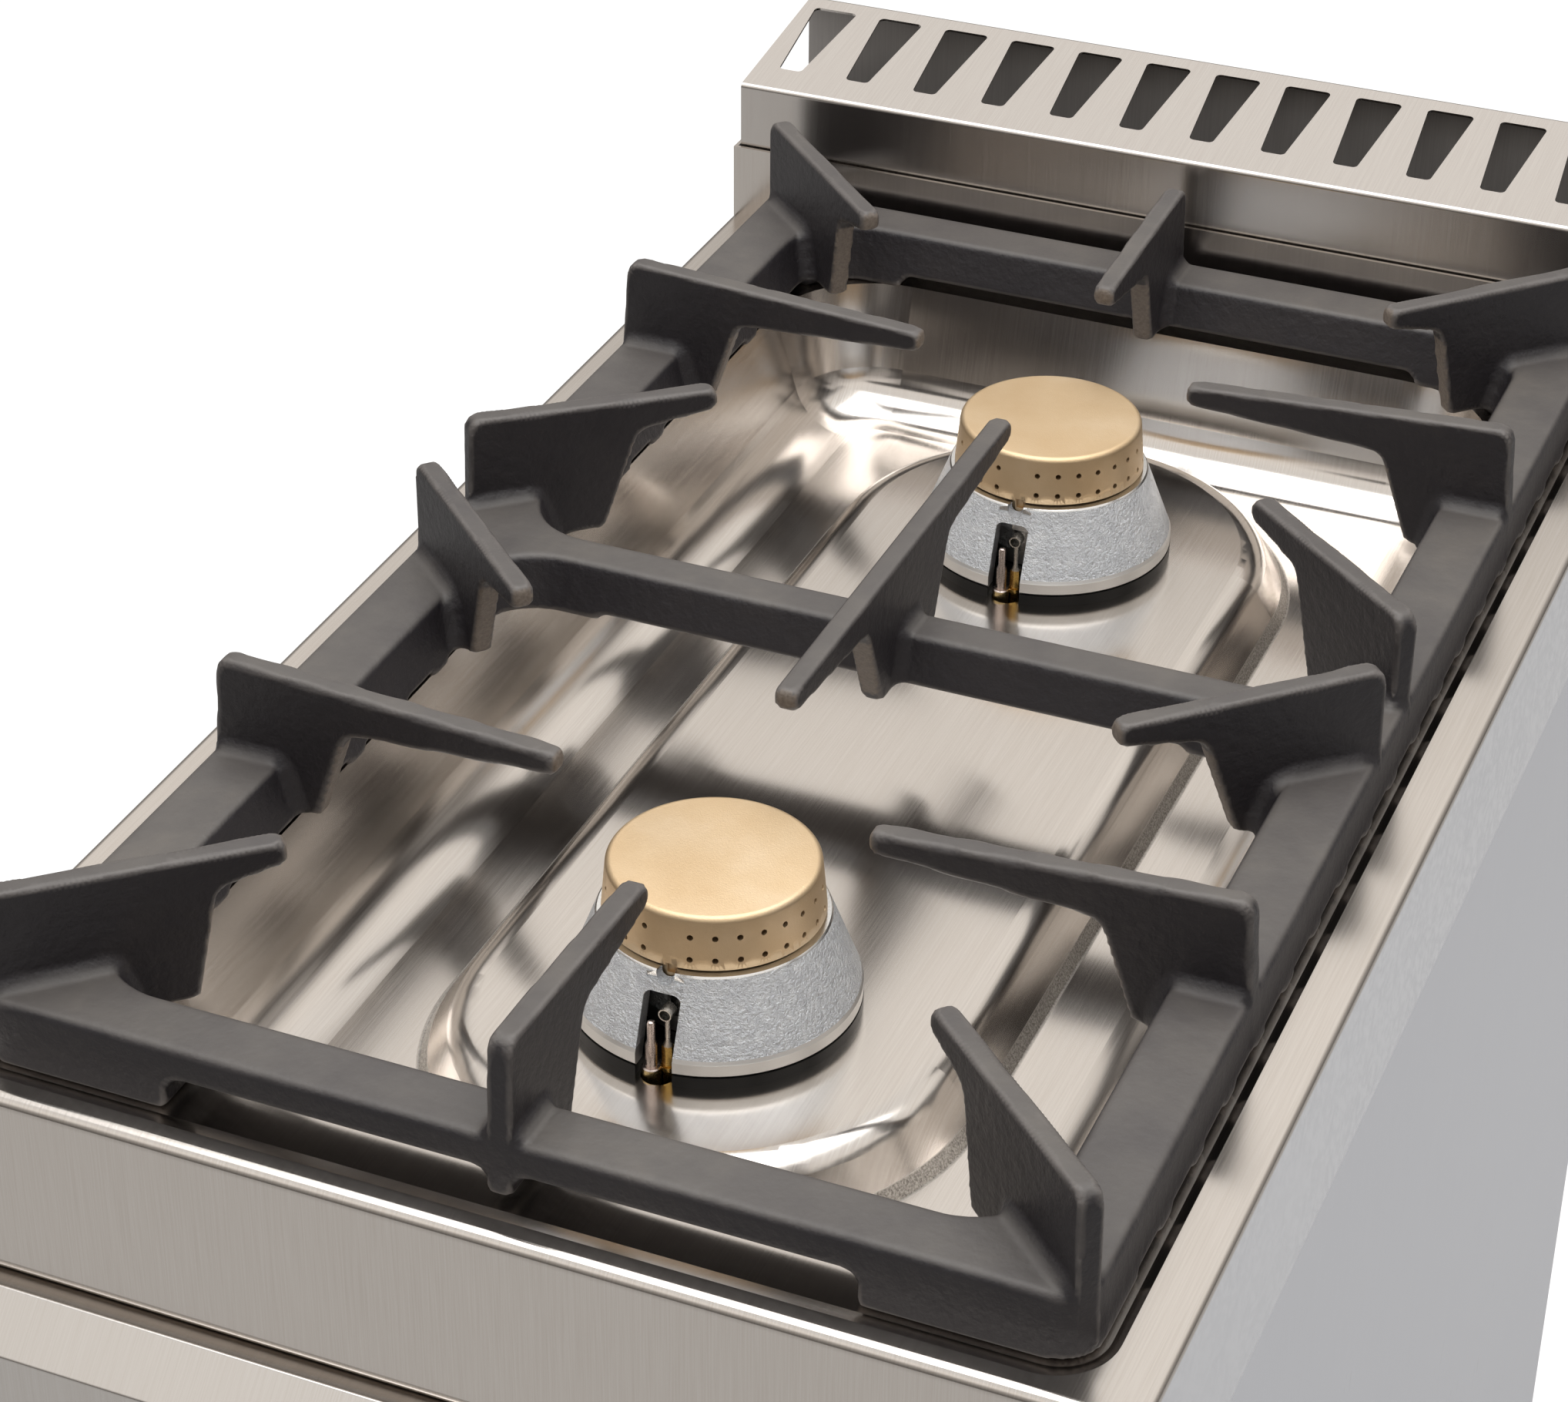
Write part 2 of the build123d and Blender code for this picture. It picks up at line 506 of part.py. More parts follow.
def make_pan_support():
    half = HALF - RIM_SIDE - RIM_RUN_SIDE - GRATE_CLEARANCE
    front = NOSE_Y + RIM_FRONT + RIM_RUN_FRONT + GRATE_CLEARANCE
    rear = BURNER_PITCH - front
    middle = BURNER_PITCH / 2
    frame = grate_frame(half, front, rear)

    # feet: castellations under the side bars, wide reliefs under the end and cross bars
    notch_count = int((rear - front - 2 * GRATE_CORNER - CASTELLATION_WIDTH) / CASTELLATION_PITCH)
    notch = Box(3 * half, CASTELLATION_WIDTH, 2 * GRATE_FOOT)
    for i in range(notch_count):
        y = middle + (i - (notch_count - 1) / 2) * CASTELLATION_PITCH
        frame = frame - Pos(0, y, GRATE_BASE_Z) * notch
    for y, height in ((front, FRONT_RELIEF), (rear, REAR_RELIEF), (middle, REAR_RELIEF)):
        arch = Plane.XZ * (Pos(0, GRATE_BASE_Z) * RectangleRounded(2 * RELIEF_HALF_WIDTH, 2 * height, 3.5))
        frame = frame - Pos(0, y, 0) * extrude(arch, GRATE_SIDE_BAR + 4.0, both=True)

    # fingers, each drawn along +x from its heel
    side = straight_outline(half, SIDE_FINGER_TIP, SIDE_FINGER_DROP, *SIDE_WEB)
    end = straight_outline(-front, END_FINGER_TIP, END_FINGER_DROP, *END_WEB)
    corner = diagonal_outline(CORNER_REACH, CORNER_WEB)
    inner = diagonal_outline(INNER_REACH, INNER_WEB)
    fingers = [middle_finger(middle)]
    for turn in (1, -1):                     # front half, then the rear half turned about the middle
        bay = Pos(0, middle, 0) * Rot(0, 0, 0 if turn > 0 else 180) * Pos(0, -middle, 0)
        fingers.append(finger(end, bay * Pos(0, front, 0) * Rot(0, 0, 90)))
        for x in (-1, 1):
            inwards = 0 if x < 0 else 180
            fingers.append(finger(side, bay * Pos(x * half, 0, 0) * Rot(0, 0, inwards)))
            for outline, start_y, aim, along in ((corner, front + CORNER_HEEL_Y, CORNER_AIM, 1),
                                                 (inner, middle - INNER_HEEL_Y, INNER_AIM, -1)):
                heading = degrees(atan2(along * aim[1], -x * aim[0]))
                heel = Pos(x * (half - DIAGONAL_HEEL_X), start_y, 0)
                fingers.append(finger(outline, bay * heel * Rot(0, 0, heading)))
    return frame.fuse(*fingers)


# ---------------------------------------------------------------- burners
def make_burner_cap(y):
    """Brass cap with two rows of flame ports and a hollow underside."""
    inner_top = CAP_TOP_RADIUS - CAP_WALL
    inner_skirt = CAP_SKIRT_RADIUS - CAP_WALL
    cap = turned([(0, CAP_TOP_Z), (CAP_TOP_RADIUS, CAP_TOP_Z), (CAP_SKIRT_RADIUS, CAP_SKIRT_Z),
                  (CAP_SKIRT_RADIUS, SEAT_Z), (inner_skirt, SEAT_Z), (inner_skirt, CAP_SKIRT_Z),
                  (inner_top, CAP_TOP_Z - CAP_WALL), (0, CAP_TOP_Z - CAP_WALL)])
    rim = cap.edges().filter_by(GeomType.CIRCLE).group_by(Axis.Z)[-1]
    cap = fillet(rim, CAP_ROUND)
    port = Pos(0, -CAP_SKIRT_RADIUS, 0) * Rot(90, 0, 0) * Cylinder(PORT_RADIUS, 4 * CAP_WALL)
    step = 360.0 / PORT_COLUMNS
    ports = [Rot(0, 0, PORT_TURN + column * step) * Pos(0, 0, z) * port
             for column in range(1, PORT_COLUMNS) for z in PORT_ROWS_Z]
    return burner_place(y) * (cap - ports)


def make_burner_body(y):
    """Cast aluminium burner: a cone open underneath, with the pilot slot at the front."""
    spigot = THROAT_RADIUS - THROAT_WALL - SPIGOT_CLEARANCE
    spigot_low = -ISLAND_TOP_DEPTH - 6.0
    foot = BODY_RADIUS - BODY_FOOT_CHAMFER
    body = turned([(SEAT_RADIUS, RIM_TOP_Z), (RIM_OUTER_RADIUS, RIM_TOP_Z),
                   (BODY_RADIUS, BODY_WIDE_Z), (BODY_RADIUS - 0.3, BODY_WIDE_Z - 1.4),
                   (foot, BODY_FOOT_Z), (foot - BODY_WALL, BODY_FOOT_Z),
                   (RIM_OUTER_RADIUS - BODY_WALL + 3.0, SEAT_Z - 5.0), (spigot, SEAT_Z - 12.0),
                   (spigot, spigot_low), (spigot - BODY_WALL, spigot_low),
                   (spigot - BODY_WALL, SEAT_Z), (SEAT_RADIUS, SEAT_Z)])
    front = BODY_RADIUS + 2.0
    window = RectangleRounded(PILOT_SLOT_WIDTH, 2 * (PILOT_SLOT_TOP_Z - BODY_FOOT_Z), PILOT_SLOT_CORNER)
    slot = extrude(Plane.XZ.offset(front) * (Pos(0, BODY_FOOT_Z) * window), -(front - spigot - 1.0))
    notch = block(-NOTCH_WIDTH / 2, NOTCH_WIDTH / 2, -RIM_OUTER_RADIUS - 3.0, -CAP_SKIRT_RADIUS + 0.6,
                  SEAT_Z + 0.8, RIM_TOP_Z + 1.0)
    return burner_place(y) * (body - slot - notch)


def make_burner_cup(y):
    """Black cup that the burner stands on; its chamber below the worktop takes the mixing tube."""
    inner = THROAT_RADIUS - THROAT_WALL
    cup = turned([(inner, BODY_FOOT_Z), (CUP_RADIUS, BODY_FOOT_Z), (CUP_RADIUS, -ISLAND_TOP_DEPTH),
                  (THROAT_RADIUS, -ISLAND_TOP_DEPTH), (THROAT_RADIUS, CHAMBER_TOP_Z),
                  (CHAMBER_RADIUS, CHAMBER_TOP_Z), (CHAMBER_RADIUS, CHAMBER_BOTTOM_Z),
                  (0, CHAMBER_BOTTOM_Z), (0, CHAMBER_BOTTOM_Z + THROAT_WALL),
                  (CHAMBER_RADIUS - THROAT_WALL, CHAMBER_BOTTOM_Z + THROAT_WALL),
                  (CHAMBER_RADIUS - THROAT_WALL, CHAMBER_TOP_Z - THROAT_WALL),
                  (inner, CHAMBER_TOP_Z - THROAT_WALL)])
    gap = block(-PILOT_SLOT_WIDTH / 2, PILOT_SLOT_WIDTH / 2, -CUP_RADIUS - 1.0, -THROAT_RADIUS - 3.0,
                -ISLAND_TOP_DEPTH - 0.5, BODY_FOOT_Z + 1.0)
    socket = Pos(-CHAMBER_RADIUS, 0, MIXER_Z) * Rot(0, 90, 0) * Cylinder(MIXER_MOUTH_RADIUS, 30.0)
    return burner_place(y) * (cup - gap - socket)


def make_mixing_tube(y):
    """Venturi: a waisted tube from the injector to the burner cup, lying along x."""
    w = MIXER_WALL
    length = MIXER_LENGTH
    waist = 0.4 * length
    inside = [(MIXER_MOUTH_RADIUS - w, 0.0), (MIXER_THROAT_RADIUS, waist),
              (MIXER_THROAT_RADIUS - 1.0, waist + 8.0), (MIXER_MOUTH_RADIUS - w + 1.0, length)]
    outside = [(MIXER_MOUTH_RADIUS + w, length), (MIXER_MOUTH_RADIUS, length - 5.0),
               (MIXER_THROAT_RADIUS + w, waist + 6.0), (MIXER_THROAT_RADIUS + w, waist),
               (MIXER_MOUTH_RADIUS, 8.0), (MIXER_MOUTH_RADIUS, 0.0)]
    flare = turned(inside + outside)
    start = -CHAMBER_RADIUS + MIXER_ENTRY
    return burner_place(y) * Pos(start, 0, MIXER_Z) * Rot(0, -90, 0) * flare


def injector_tip_x():
    return -CHAMBER_RADIUS + MIXER_ENTRY - MIXER_LENGTH - INJECTOR_GAP


def make_injector(y):
    """Brass injector: nozzle through the bridge's arm, hexagon holder behind it."""
    shoulder = -INJECTOR_NOZZLE - PANEL_SHEET
    nozzle = turned([(JET_RADIUS, 0.0), (3.0, 0.0), (INJECTOR_RADIUS, -6.0), (INJECTOR_RADIUS, shoulder),
                     (JET_RADIUS, shoulder)])
    holder = Pos(0, 0, shoulder) * extrude(RegularPolygon(2 * INJECTOR_RADIUS, 6), -INJECTOR_HOLDER)
    bore = Pos(0, 0, shoulder - INJECTOR_HOLDER + FEED_ENTRY / 2) * Cylinder(FEED_RADIUS, FEED_ENTRY)
    shaped = nozzle + (holder - bore)
    return burner_place(y) * Pos(injector_tip_x(), 0, MIXER_Z) * Rot(0, 90, 0) * shaped


def make_burner_bridge(y):
    """Cross-member under a burner, flanged to both side panels, with an arm for the injector."""
    t = PANEL_SHEET
    half_span = HALF - PANEL_SHEET
    web_top = CHAMBER_BOTTOM_Z
    flange_low = web_top - BRIDGE_FLANGE
    path = [(-half_span + t / 2, flange_low), (-half_span + t / 2, web_top - t / 2),
            (half_span - t / 2, web_top - t / 2), (half_span - t / 2, flange_low)]
    strip_face = Plane.XZ * trace(FilletPolyline(*path, radius=2.0), t)
    strip = extrude(strip_face, BRIDGE_WIDTH / 2, both=True)
    arm_x = injector_tip_x() - INJECTOR_NOZZLE
    half_arm = BRIDGE_ARM_WIDTH / 2
    arm = block(arm_x - t, arm_x, -half_arm, half_arm, web_top - t / 2, MIXER_Z + half_arm)
    arm = arm - Pos(arm_x, 0, MIXER_Z) * Rot(0, 90, 0) * Cylinder(INJECTOR_RADIUS, 10.0)
    return burner_place(y) * (strip + arm)


def make_thermocouple(y):
    """Thermocouple probe standing in the pilot slot, with its brass nut in the island's hole."""
    probe = turned([(0, THERMOCOUPLE_TIP_Z), (PROBE_TIP_RADIUS, THERMOCOUPLE_TIP_Z),
                    (PROBE_TIP_RADIUS + 0.2, -22.0), (PROBE_RADIUS, -23.0),
                    (PROBE_RADIUS, PROBE_NUT_TOP_Z), (0, PROBE_NUT_TOP_Z)])
    nut_low = PROBE_NUT_TOP_Z - PROBE_NUT_HEIGHT
    nut = Pos(0, 0, nut_low) * extrude(RegularPolygon(PROBE_NUT_RADIUS, 6), PROBE_NUT_HEIGHT)
    tail_middle = LEAD_TOP_Z + PROBE_TAIL_LENGTH / 2
    tail = Pos(0, 0, tail_middle) * Cylinder(PROBE_TAIL_RADIUS, PROBE_TAIL_LENGTH)
    return burner_place(y) * Pos(THERMOCOUPLE_X, THERMOCOUPLE_Y, 0) * (probe + nut + tail)


def make_pilot_burner(y):
    """Pilot: a thin brass tube beside the thermocouple with a hooked tip."""
    path = [(0, 0, PILOT_LOW_Z), (0, 0, PILOT_BEND_Z), PILOT_TIP]
    rise = tube(path, PILOT_BEND_RADIUS, PILOT_RISER_RADIUS)
    nut_low = PILOT_NUT_TOP_Z - PILOT_NUT_HEIGHT
    fitting = Pos(0, 0, nut_low) * extrude(RegularPolygon(PILOT_NUT_RADIUS, 6), PILOT_NUT_HEIGHT)
    return burner_place(y) * Pos(PILOT_X, PILOT_Y, 0) * (rise + fitting)


# ---------------------------------------------------------------- controls
def along_y(radius, y0, y1):
    """A cylinder along y on the knob's axis."""
    return Pos(0, (y0 + y1) / 2, KNOB_Z) * Rot(90, 0, 0) * Cylinder(radius, y1 - y0)


def make_valve(x):
    """Safety gas tap: brass block, bonnet round the stem, magnet unit behind."""
    width = VALVE_BODY[0]
    body = block(-width / 2, width / 2, VALVE_FRONT_Y, VALVE_REAR_Y, VALVE_LOW_Z, VALVE_TOP_Z)
    body = fillet(body.edges().filter_by(Axis.Y), 5.0)
    bonnet = along_y(BONNET_RADIUS, PANEL_FACE_Y + PANEL_SHEET, VALVE_FRONT_Y)
    magnet = along_y(MAGNET_RADIUS, VALVE_REAR_Y, VALVE_REAR_Y + MAGNET_LENGTH)
    outlet = Pos(0, FEED_PORT_Y, OUTLET_TOP_Z - 8.0) * extrude(RegularPolygon(8.0, 6), 8.0, both=True)
    pilot = Pos(PILOT_PORT_X, PILOT_PORT_Y, VALVE_TOP_Z + 3.0) * Cylinder(4.0, 8.0)
    nipple = Pos(0, MANIFOLD_Y, (VALVE_LOW_Z + MANIFOLD_Z) / 2) * Cylinder(7.0, VALVE_LOW_Z - MANIFOLD_Z)
    pipe = Pos(0, MANIFOLD_Y, MANIFOLD_Z) * Rot(0, 90, 0) * Cylinder(PIPE_RADIUS, width)
    stem_bore = along_y(STEM_RADIUS + RUNNING_CLEARANCE, PANEL_FACE_Y, STEM_END_Y)
    plunger_bore = along_y(PLUNGER_RADIUS + RUNNING_CLEARANCE, STEM_END_Y, VALVE_REAR_Y - PLUNGER_STOP)
    collar_room = along_y(2 * PLUNGER_RADIUS + 1.0, STEM_END_Y, STEM_END_Y + PLUNGER_TRAVEL + 4.0)
    feed_socket = Cylinder(FEED_RADIUS, 2 * TUBE_ENTRY)
    pilot_socket = Cylinder(PILOT_TUBE_RADIUS, 2 * TUBE_ENTRY)
    outlet = outlet - Pos(0, FEED_PORT_Y, OUTLET_TOP_Z) * feed_socket
    pilot = pilot - Pos(PILOT_PORT_X, PILOT_PORT_Y, PILOT_TOP_Z) * pilot_socket
    tap = body + bonnet + magnet + outlet + pilot + (nipple - pipe)
    return Pos(x, 0, 0) * (tap - stem_bore - plunger_bore - collar_room)


def make_valve_plunger(x):
    """Push rod inside the tap, which the stem presses towards the magnet unit."""
    rod = along_y(PLUNGER_RADIUS, STEM_END_Y, VALVE_REAR_Y - PLUNGER_STOP - PLUNGER_TRAVEL)
    collar = along_y(2 * PLUNGER_RADIUS, STEM_END_Y, STEM_END_Y + 2.0)
    return Pos(x, 0, 0) * (rod + collar)


def make_valve_stem(x):
    """Stem with a flat where the knob grips it."""
    front = KNOB_BACK_Y - KNOB_SOCKET
    stem = along_y(STEM_RADIUS, front, STEM_END_Y)
    flat = block(-5.0, 5.0, front - 1.0, KNOB_BACK_Y + 2.0, KNOB_Z + STEM_RADIUS - 1.5, KNOB_Z + 10.0)
    return Pos(x, 0, 0) * (stem - flat)


def make_knob(x):
    """Round knob: a chamfered skirt and a domed grip with a scoop either side of the bar."""
    face_y = KNOB_BACK_Y - KNOB_LENGTH
    profile = [(0, 0), (KNOB_RADIUS - 1.0, 0), (KNOB_RADIUS, 1.0), (KNOB_RADIUS, KNOB_SKIRT - 2.0),
               (KNOB_RADIUS - 3.0, KNOB_SKIRT), (KNOB_RADIUS - 7.0, KNOB_SKIRT + 1.0),
               (KNOB_RADIUS - 9.5, KNOB_LENGTH - 2.0), (KNOB_RADIUS - 11.5, KNOB_LENGTH), (0, KNOB_LENGTH)]
    knob = turned(profile)
    scoop_y = KNOB_GRIP_WIDTH / 2 + KNOB_SCOOP_RADIUS
    for side in (-1, 1):
        scoop_z = KNOB_SKIRT + 2.0 + KNOB_LENGTH / 2
        scoop = Pos(side * scoop_y, 0, scoop_z) * Cylinder(KNOB_SCOOP_RADIUS, KNOB_LENGTH)
        knob = knob - scoop
    socket = Cylinder(STEM_RADIUS + RUNNING_CLEARANCE, 2 * KNOB_SOCKET)
    hollow = Cylinder(KNOB_RADIUS - KNOB_WALL, 8.0) - Cylinder(STEM_RADIUS + 5.0, 8.0)
    knob = knob - socket - hollow
    return Pos(x, KNOB_BACK_Y, KNOB_Z) * Rot(90, 0, 0) * knob


def make_bezel(x):
    """Ring on the control panel round the stem."""
    ring = turned([(STEM_RADIUS + 3.0, 0), (BEZEL_RADIUS, 0), (BEZEL_RADIUS - 0.8, BEZEL_HEIGHT),
                   (STEM_RADIUS + 3.0, BEZEL_HEIGHT)])
    return Pos(x, PANEL_FACE_Y, KNOB_Z) * Rot(90, 0, 0) * ring


# ---------------------------------------------------------------- gas pipes
def make_manifold():
    """Gas pipe: across behind the control panel, back along the right side, out at the rear."""
    start_x = -KNOB_X - PIPE_START
    path = [(start_x, MANIFOLD_Y, MANIFOLD_Z), (INLET_X, MANIFOLD_Y, MANIFOLD_Z),
            (INLET_X, REAR_Y + PIPE_PROUD, MANIFOLD_Z)]
    pipe = tube(path, PIPE_BEND, PIPE_RADIUS, PIPE_WALL)
    half_cap = PIPE_CAP / 2
    cap = Rot(0, 90, 0) * Cylinder(PIPE_RADIUS + 1.5, PIPE_CAP)
    cap = Pos(start_x - half_cap, MANIFOLD_Y, MANIFOLD_Z) * cap
    return pipe + cap


def make_gas_inlet():
    """Threaded stub behind the back panel, with a hexagon to hold while connecting."""
    stub = extrude(RegularPolygon(INLET_HEXAGON_RADIUS, 6), INLET_HEXAGON)
    stub = stub + Pos(0, 0, INLET_HEXAGON + THREAD_LENGTH / 2) * Cylinder(THREAD_RADIUS, THREAD_LENGTH)
    stub = stub - Cylinder(PIPE_RADIUS - PIPE_WALL, 2 * (INLET_HEXAGON + THREAD_LENGTH) + 1.0)
    return Pos(INLET_X, REAR_Y + PIPE_PROUD, MANIFOLD_Z) * Rot(-90, 0, 0) * stub


def feed_end_x():
    return injector_tip_x() - INJECTOR_NOZZLE - PANEL_SHEET - INJECTOR_HOLDER + FEED_ENTRY


def make_front_feed_tube():
    """Gas feed from the left tap to the front injector."""
    x = -KNOB_X
    lane = feed_end_x() - 26.0
    path = [(x, FEED_PORT_Y, OUTLET_TOP_Z - TUBE_ENTRY), (x, FEED_PORT_Y, MIXER_Z),
            (lane, FEED_PORT_Y + 40.0, MIXER_Z), (lane, 0, MIXER_Z), (feed_end_x(), 0, MIXER_Z)]
    return tube(path, FEED_BEND, FEED_RADIUS)


def make_rear_feed_tube():
    """Gas feed from the right tap, under the front one, to the rear injector."""
    x = KNOB_X
    level = MIXER_Z - 16.0
    lane = feed_end_x() - 38.0
    path = [(x, FEED_PORT_Y, OUTLET_TOP_Z - TUBE_ENTRY), (x, FEED_PORT_Y, level),
            (x - 35.0, FEED_PORT_Y + 22.0, level), (lane + 36.0, FEED_PORT_Y + 22.0, level),
            (lane, FEED_PORT_Y + 56.0, level), (lane, BURNER_PITCH, MIXER_Z),
            (feed_end_x(), BURNER_PITCH, MIXER_Z)]
    return tube(path, FEED_BEND, FEED_RADIUS)


def make_front_pilot_tube():
    x = -KNOB_X + PILOT_PORT_X
    level = OUTLET_TOP_Z + 13.0
    end_y = PILOT_Y
    path = [(x, PILOT_PORT_Y, PILOT_TOP_Z - TUBE_ENTRY), (x, PILOT_PORT_Y, level),
            (PILOT_X, PILOT_PORT_Y + 62.0, level), (PILOT_X, end_y, level), (PILOT_X, end_y, PILOT_LOW_Z)]
    return tube(path, SMALL_BEND, PILOT_TUBE_RADIUS)


def make_rear_pilot_tube():
    x = KNOB_X + PILOT_PORT_X
    level = OUTLET_TOP_Z + 7.0
    end_y = BURNER_PITCH + PILOT_Y
    path = [(x, PILOT_PORT_Y, PILOT_TOP_Z - TUBE_ENTRY), (x, PILOT_PORT_Y, level),
            (x + 16.0, PILOT_PORT_Y + 52.0, level), (x + 16.0, end_y - 110.0, level),
            (PILOT_X, end_y, level), (PILOT_X, end_y, PILOT_LOW_Z)]
    return tube(path, SMALL_BEND * 0.6, PILOT_TUBE_RADIUS)


def make_front_lead():
    """Thermocouple lead to the magnet unit of the left tap."""
    magnet_end = VALVE_REAR_Y + MAGNET_LENGTH
    path = [(THERMOCOUPLE_X, THERMOCOUPLE_Y, LEAD_TOP_Z), (THERMOCOUPLE_X, THERMOCOUPLE_Y, KNOB_Z + 25.0),
            (-KNOB_X, magnet_end + 32.0, KNOB_Z), (-KNOB_X, magnet_end, KNOB_Z)]
    return tube(path, SMALL_BEND, LEAD_RADIUS)


def make_rear_lead():
    """Thermocouple lead to the magnet unit of the right tap."""
    magnet_end = VALVE_REAR_Y + MAGNET_LENGTH
    probe_y = BURNER_PITCH + THERMOCOUPLE_Y
    level = KNOB_Z + 19.0
    path = [(THERMOCOUPLE_X, probe_y, LEAD_TOP_Z), (THERMOCOUPLE_X, probe_y, level),
            (50.0, probe_y - 74.0, level), (50.0, magnet_end + 64.0, level),
            (KNOB_X, magnet_end + 32.0, KNOB_Z), (KNOB_X, magnet_end, KNOB_Z)]
    return tube(path, SMALL_BEND, LEAD_RADIUS)


# ---------------------------------------------------------------- body
def make_side_panel(side):
    """Side panel folded from one sheet: a post at the front, a return at the back."""
    t = PANEL_SHEET
    mid = t / 2
    front = CABINET_FRONT_Y + mid
    rear = BACK_SHEET_Y - COVER_SHEET - mid
    path = [(HALF - POST_WIDTH, front + POST_DEPTH), (HALF - POST_WIDTH, front), (HALF - mid, front),
            (HALF - mid, rear), (HALF - SIDE_RETURN, rear)]
    section_face = Pos(0, 0, BODY_BOTTOM_Z) * trace(FilletPolyline(*path, radius=1.8), t)
    panel = extrude(section_face, -APRON_HEIGHT - BODY_BOTTOM_Z)
    panel = panel - block(0, HALF + 1.0, CABINET_FRONT_Y - 1.0, CONTROL_BACK_Y, CEILING_Z, 0)
    if side < 0:
        panel = mirror(panel, Plane.YZ)
    return panel


def make_control_panel():
    """Tray-shaped front: a sloping ledge under the nose, a flat face, closed ends, open back."""
    t = PANEL_SHEET
    top = -NOSE_HEIGHT - 0.6
    ledge = CONTROL_LEDGE
    outline = [(CONTROL_BACK_Y, top), (PANEL_FACE_Y + ledge, top), (PANEL_FACE_Y, top - ledge),
               (PANEL_FACE_Y, -CONTROL_PANEL_DROP), (CONTROL_BACK_Y, -CONTROL_PANEL_DROP)]
    shift = t * 0.4142
    inner = [(CONTROL_BACK_Y + 5.0, top - t), (PANEL_FACE_Y + ledge + shift, top - t),
             (PANEL_FACE_Y + t, top - ledge - shift), (PANEL_FACE_Y + t, -CONTROL_PANEL_DROP + t),
             (CONTROL_BACK_Y + 5.0, -CONTROL_PANEL_DROP + t)]
    outer_solid = extrude(Plane.YZ * make_face(Polyline(*outline, close=True)), HALF, both=True)
    front_edges = outer_solid.edges().filter_by(Axis.X).sort_by(Axis.Y)[:3]
    outer_solid = fillet(front_edges, 1.5)
    hollow = extrude(Plane.YZ * make_face(Polyline(*inner, close=True)), HALF - t, both=True)
    holes = [Pos(x, PANEL_FACE_Y, KNOB_Z) * Rot(90, 0, 0) * Cylinder(STEM_RADIUS + PANEL_HOLE_CLEARANCE, 10.0)
             for _, x in BURNERS.values()]
    return outer_solid - hollow - holes


def make_ceiling():
    """Heat shield between the gas controls and the open compartment, folded down at the front."""
    t = PANEL_SHEET
    front = CABINET_FRONT_Y + t + t / 2
    rear = BACK_SHEET_Y - COVER_SHEET
    path = [(front, CEILING_Z - 22.0), (front, CEILING_Z - t / 2), (rear, CEILING_Z - t / 2)]
    sheet = folded_sheet(path, 1.8, t, HALF - t)
    low = CEILING_Z - 3.0
    high = CEILING_Z + 1.0
    corner = block(-HALF - 1, HALF + 1, rear - 1.0 - PANEL_SHEET, rear + 1.0, low, high)
    keep = block(-HALF + SIDE_RETURN + 1.0, HALF - SIDE_RETURN - 1.0, rear - 5.0, rear, low, high)
    post = block(HALF - POST_WIDTH - 0.6, HALF + 1.0, CABINET_FRONT_Y, CABINET_FRONT_Y + POST_DEPTH + 2.6,
                 CEILING_Z - 30.0, CEILING_Z + 1.0)
    return sheet - (corner - keep) - post - mirror(post, Plane.YZ)


def make_base_shelf():
    """Floor of the compartment, folded down at the front and back."""
    t = PANEL_SHEET
    front = CABINET_FRONT_Y + t + t / 2
    rear = BACK_SHEET_Y - COVER_SHEET - t - t / 2
    top = BODY_BOTTOM_Z + SHELF_RISE
    path = [(front, BODY_BOTTOM_Z), (front, top - t / 2), (rear, top - t / 2), (rear, BODY_BOTTOM_Z)]
    shelf = folded_sheet(path, 1.8, t, HALF - t - 1.3)
    post = block(HALF - POST_WIDTH - 0.6, HALF + 1.0, CABINET_FRONT_Y, CABINET_FRONT_Y + POST_DEPTH + 2.6,
                 BODY_BOTTOM_Z - 1.0, top + 1.0)
    return shelf - post - mirror(post, Plane.YZ)


def back_screw_places():
    """Middles of the back panel's screw heads, up both sides."""
    low = BODY_BOTTOM_Z + 30.0
    high = -APRON_HEIGHT - 30.0
    rise = (high - low) / (BACK_SCREWS_A_SIDE - 1)
    return [Pos(side * (HALF - BACK_SCREW_INSET), BACK_SHEET_Y, low + i * rise)
            for side in (-1, 1) for i in range(BACK_SCREWS_A_SIDE)]


def make_back_panel():
    """Flat back, from the floor of the body to the top of the flue, with holes for pipe and screws."""
    sheet = block(-HALF + TOP_SHEET, HALF - TOP_SHEET, BACK_SHEET_Y - COVER_SHEET, BACK_SHEET_Y,
                  BODY_BOTTOM_Z, FLUE_REAR_HEIGHT - 4.0)
    pipe_hole = Pos(INLET_X, BACK_SHEET_Y, MANIFOLD_Z) * Rot(90, 0, 0) * Cylinder(PIPE_RADIUS + 0.2, 10.0)
    screw_hole = Rot(90, 0, 0) * Cylinder(BACK_SCREW_RADIUS + 0.1, 10.0)
    return sheet - pipe_hole - [place * screw_hole for place in back_screw_places()]


# ---------------------------------------------------------------- legs and feet
def leg_places():
    x = HALF - LEG_INSET
    front = CABINET_FRONT_Y + LEG_INSET_FRONT
    rear = BACK_SHEET_Y - LEG_INSET
    return {"front_left": (-x, front), "front_right": (x, front),
            "rear_left": (-x, rear), "rear_right": (x, rear)}


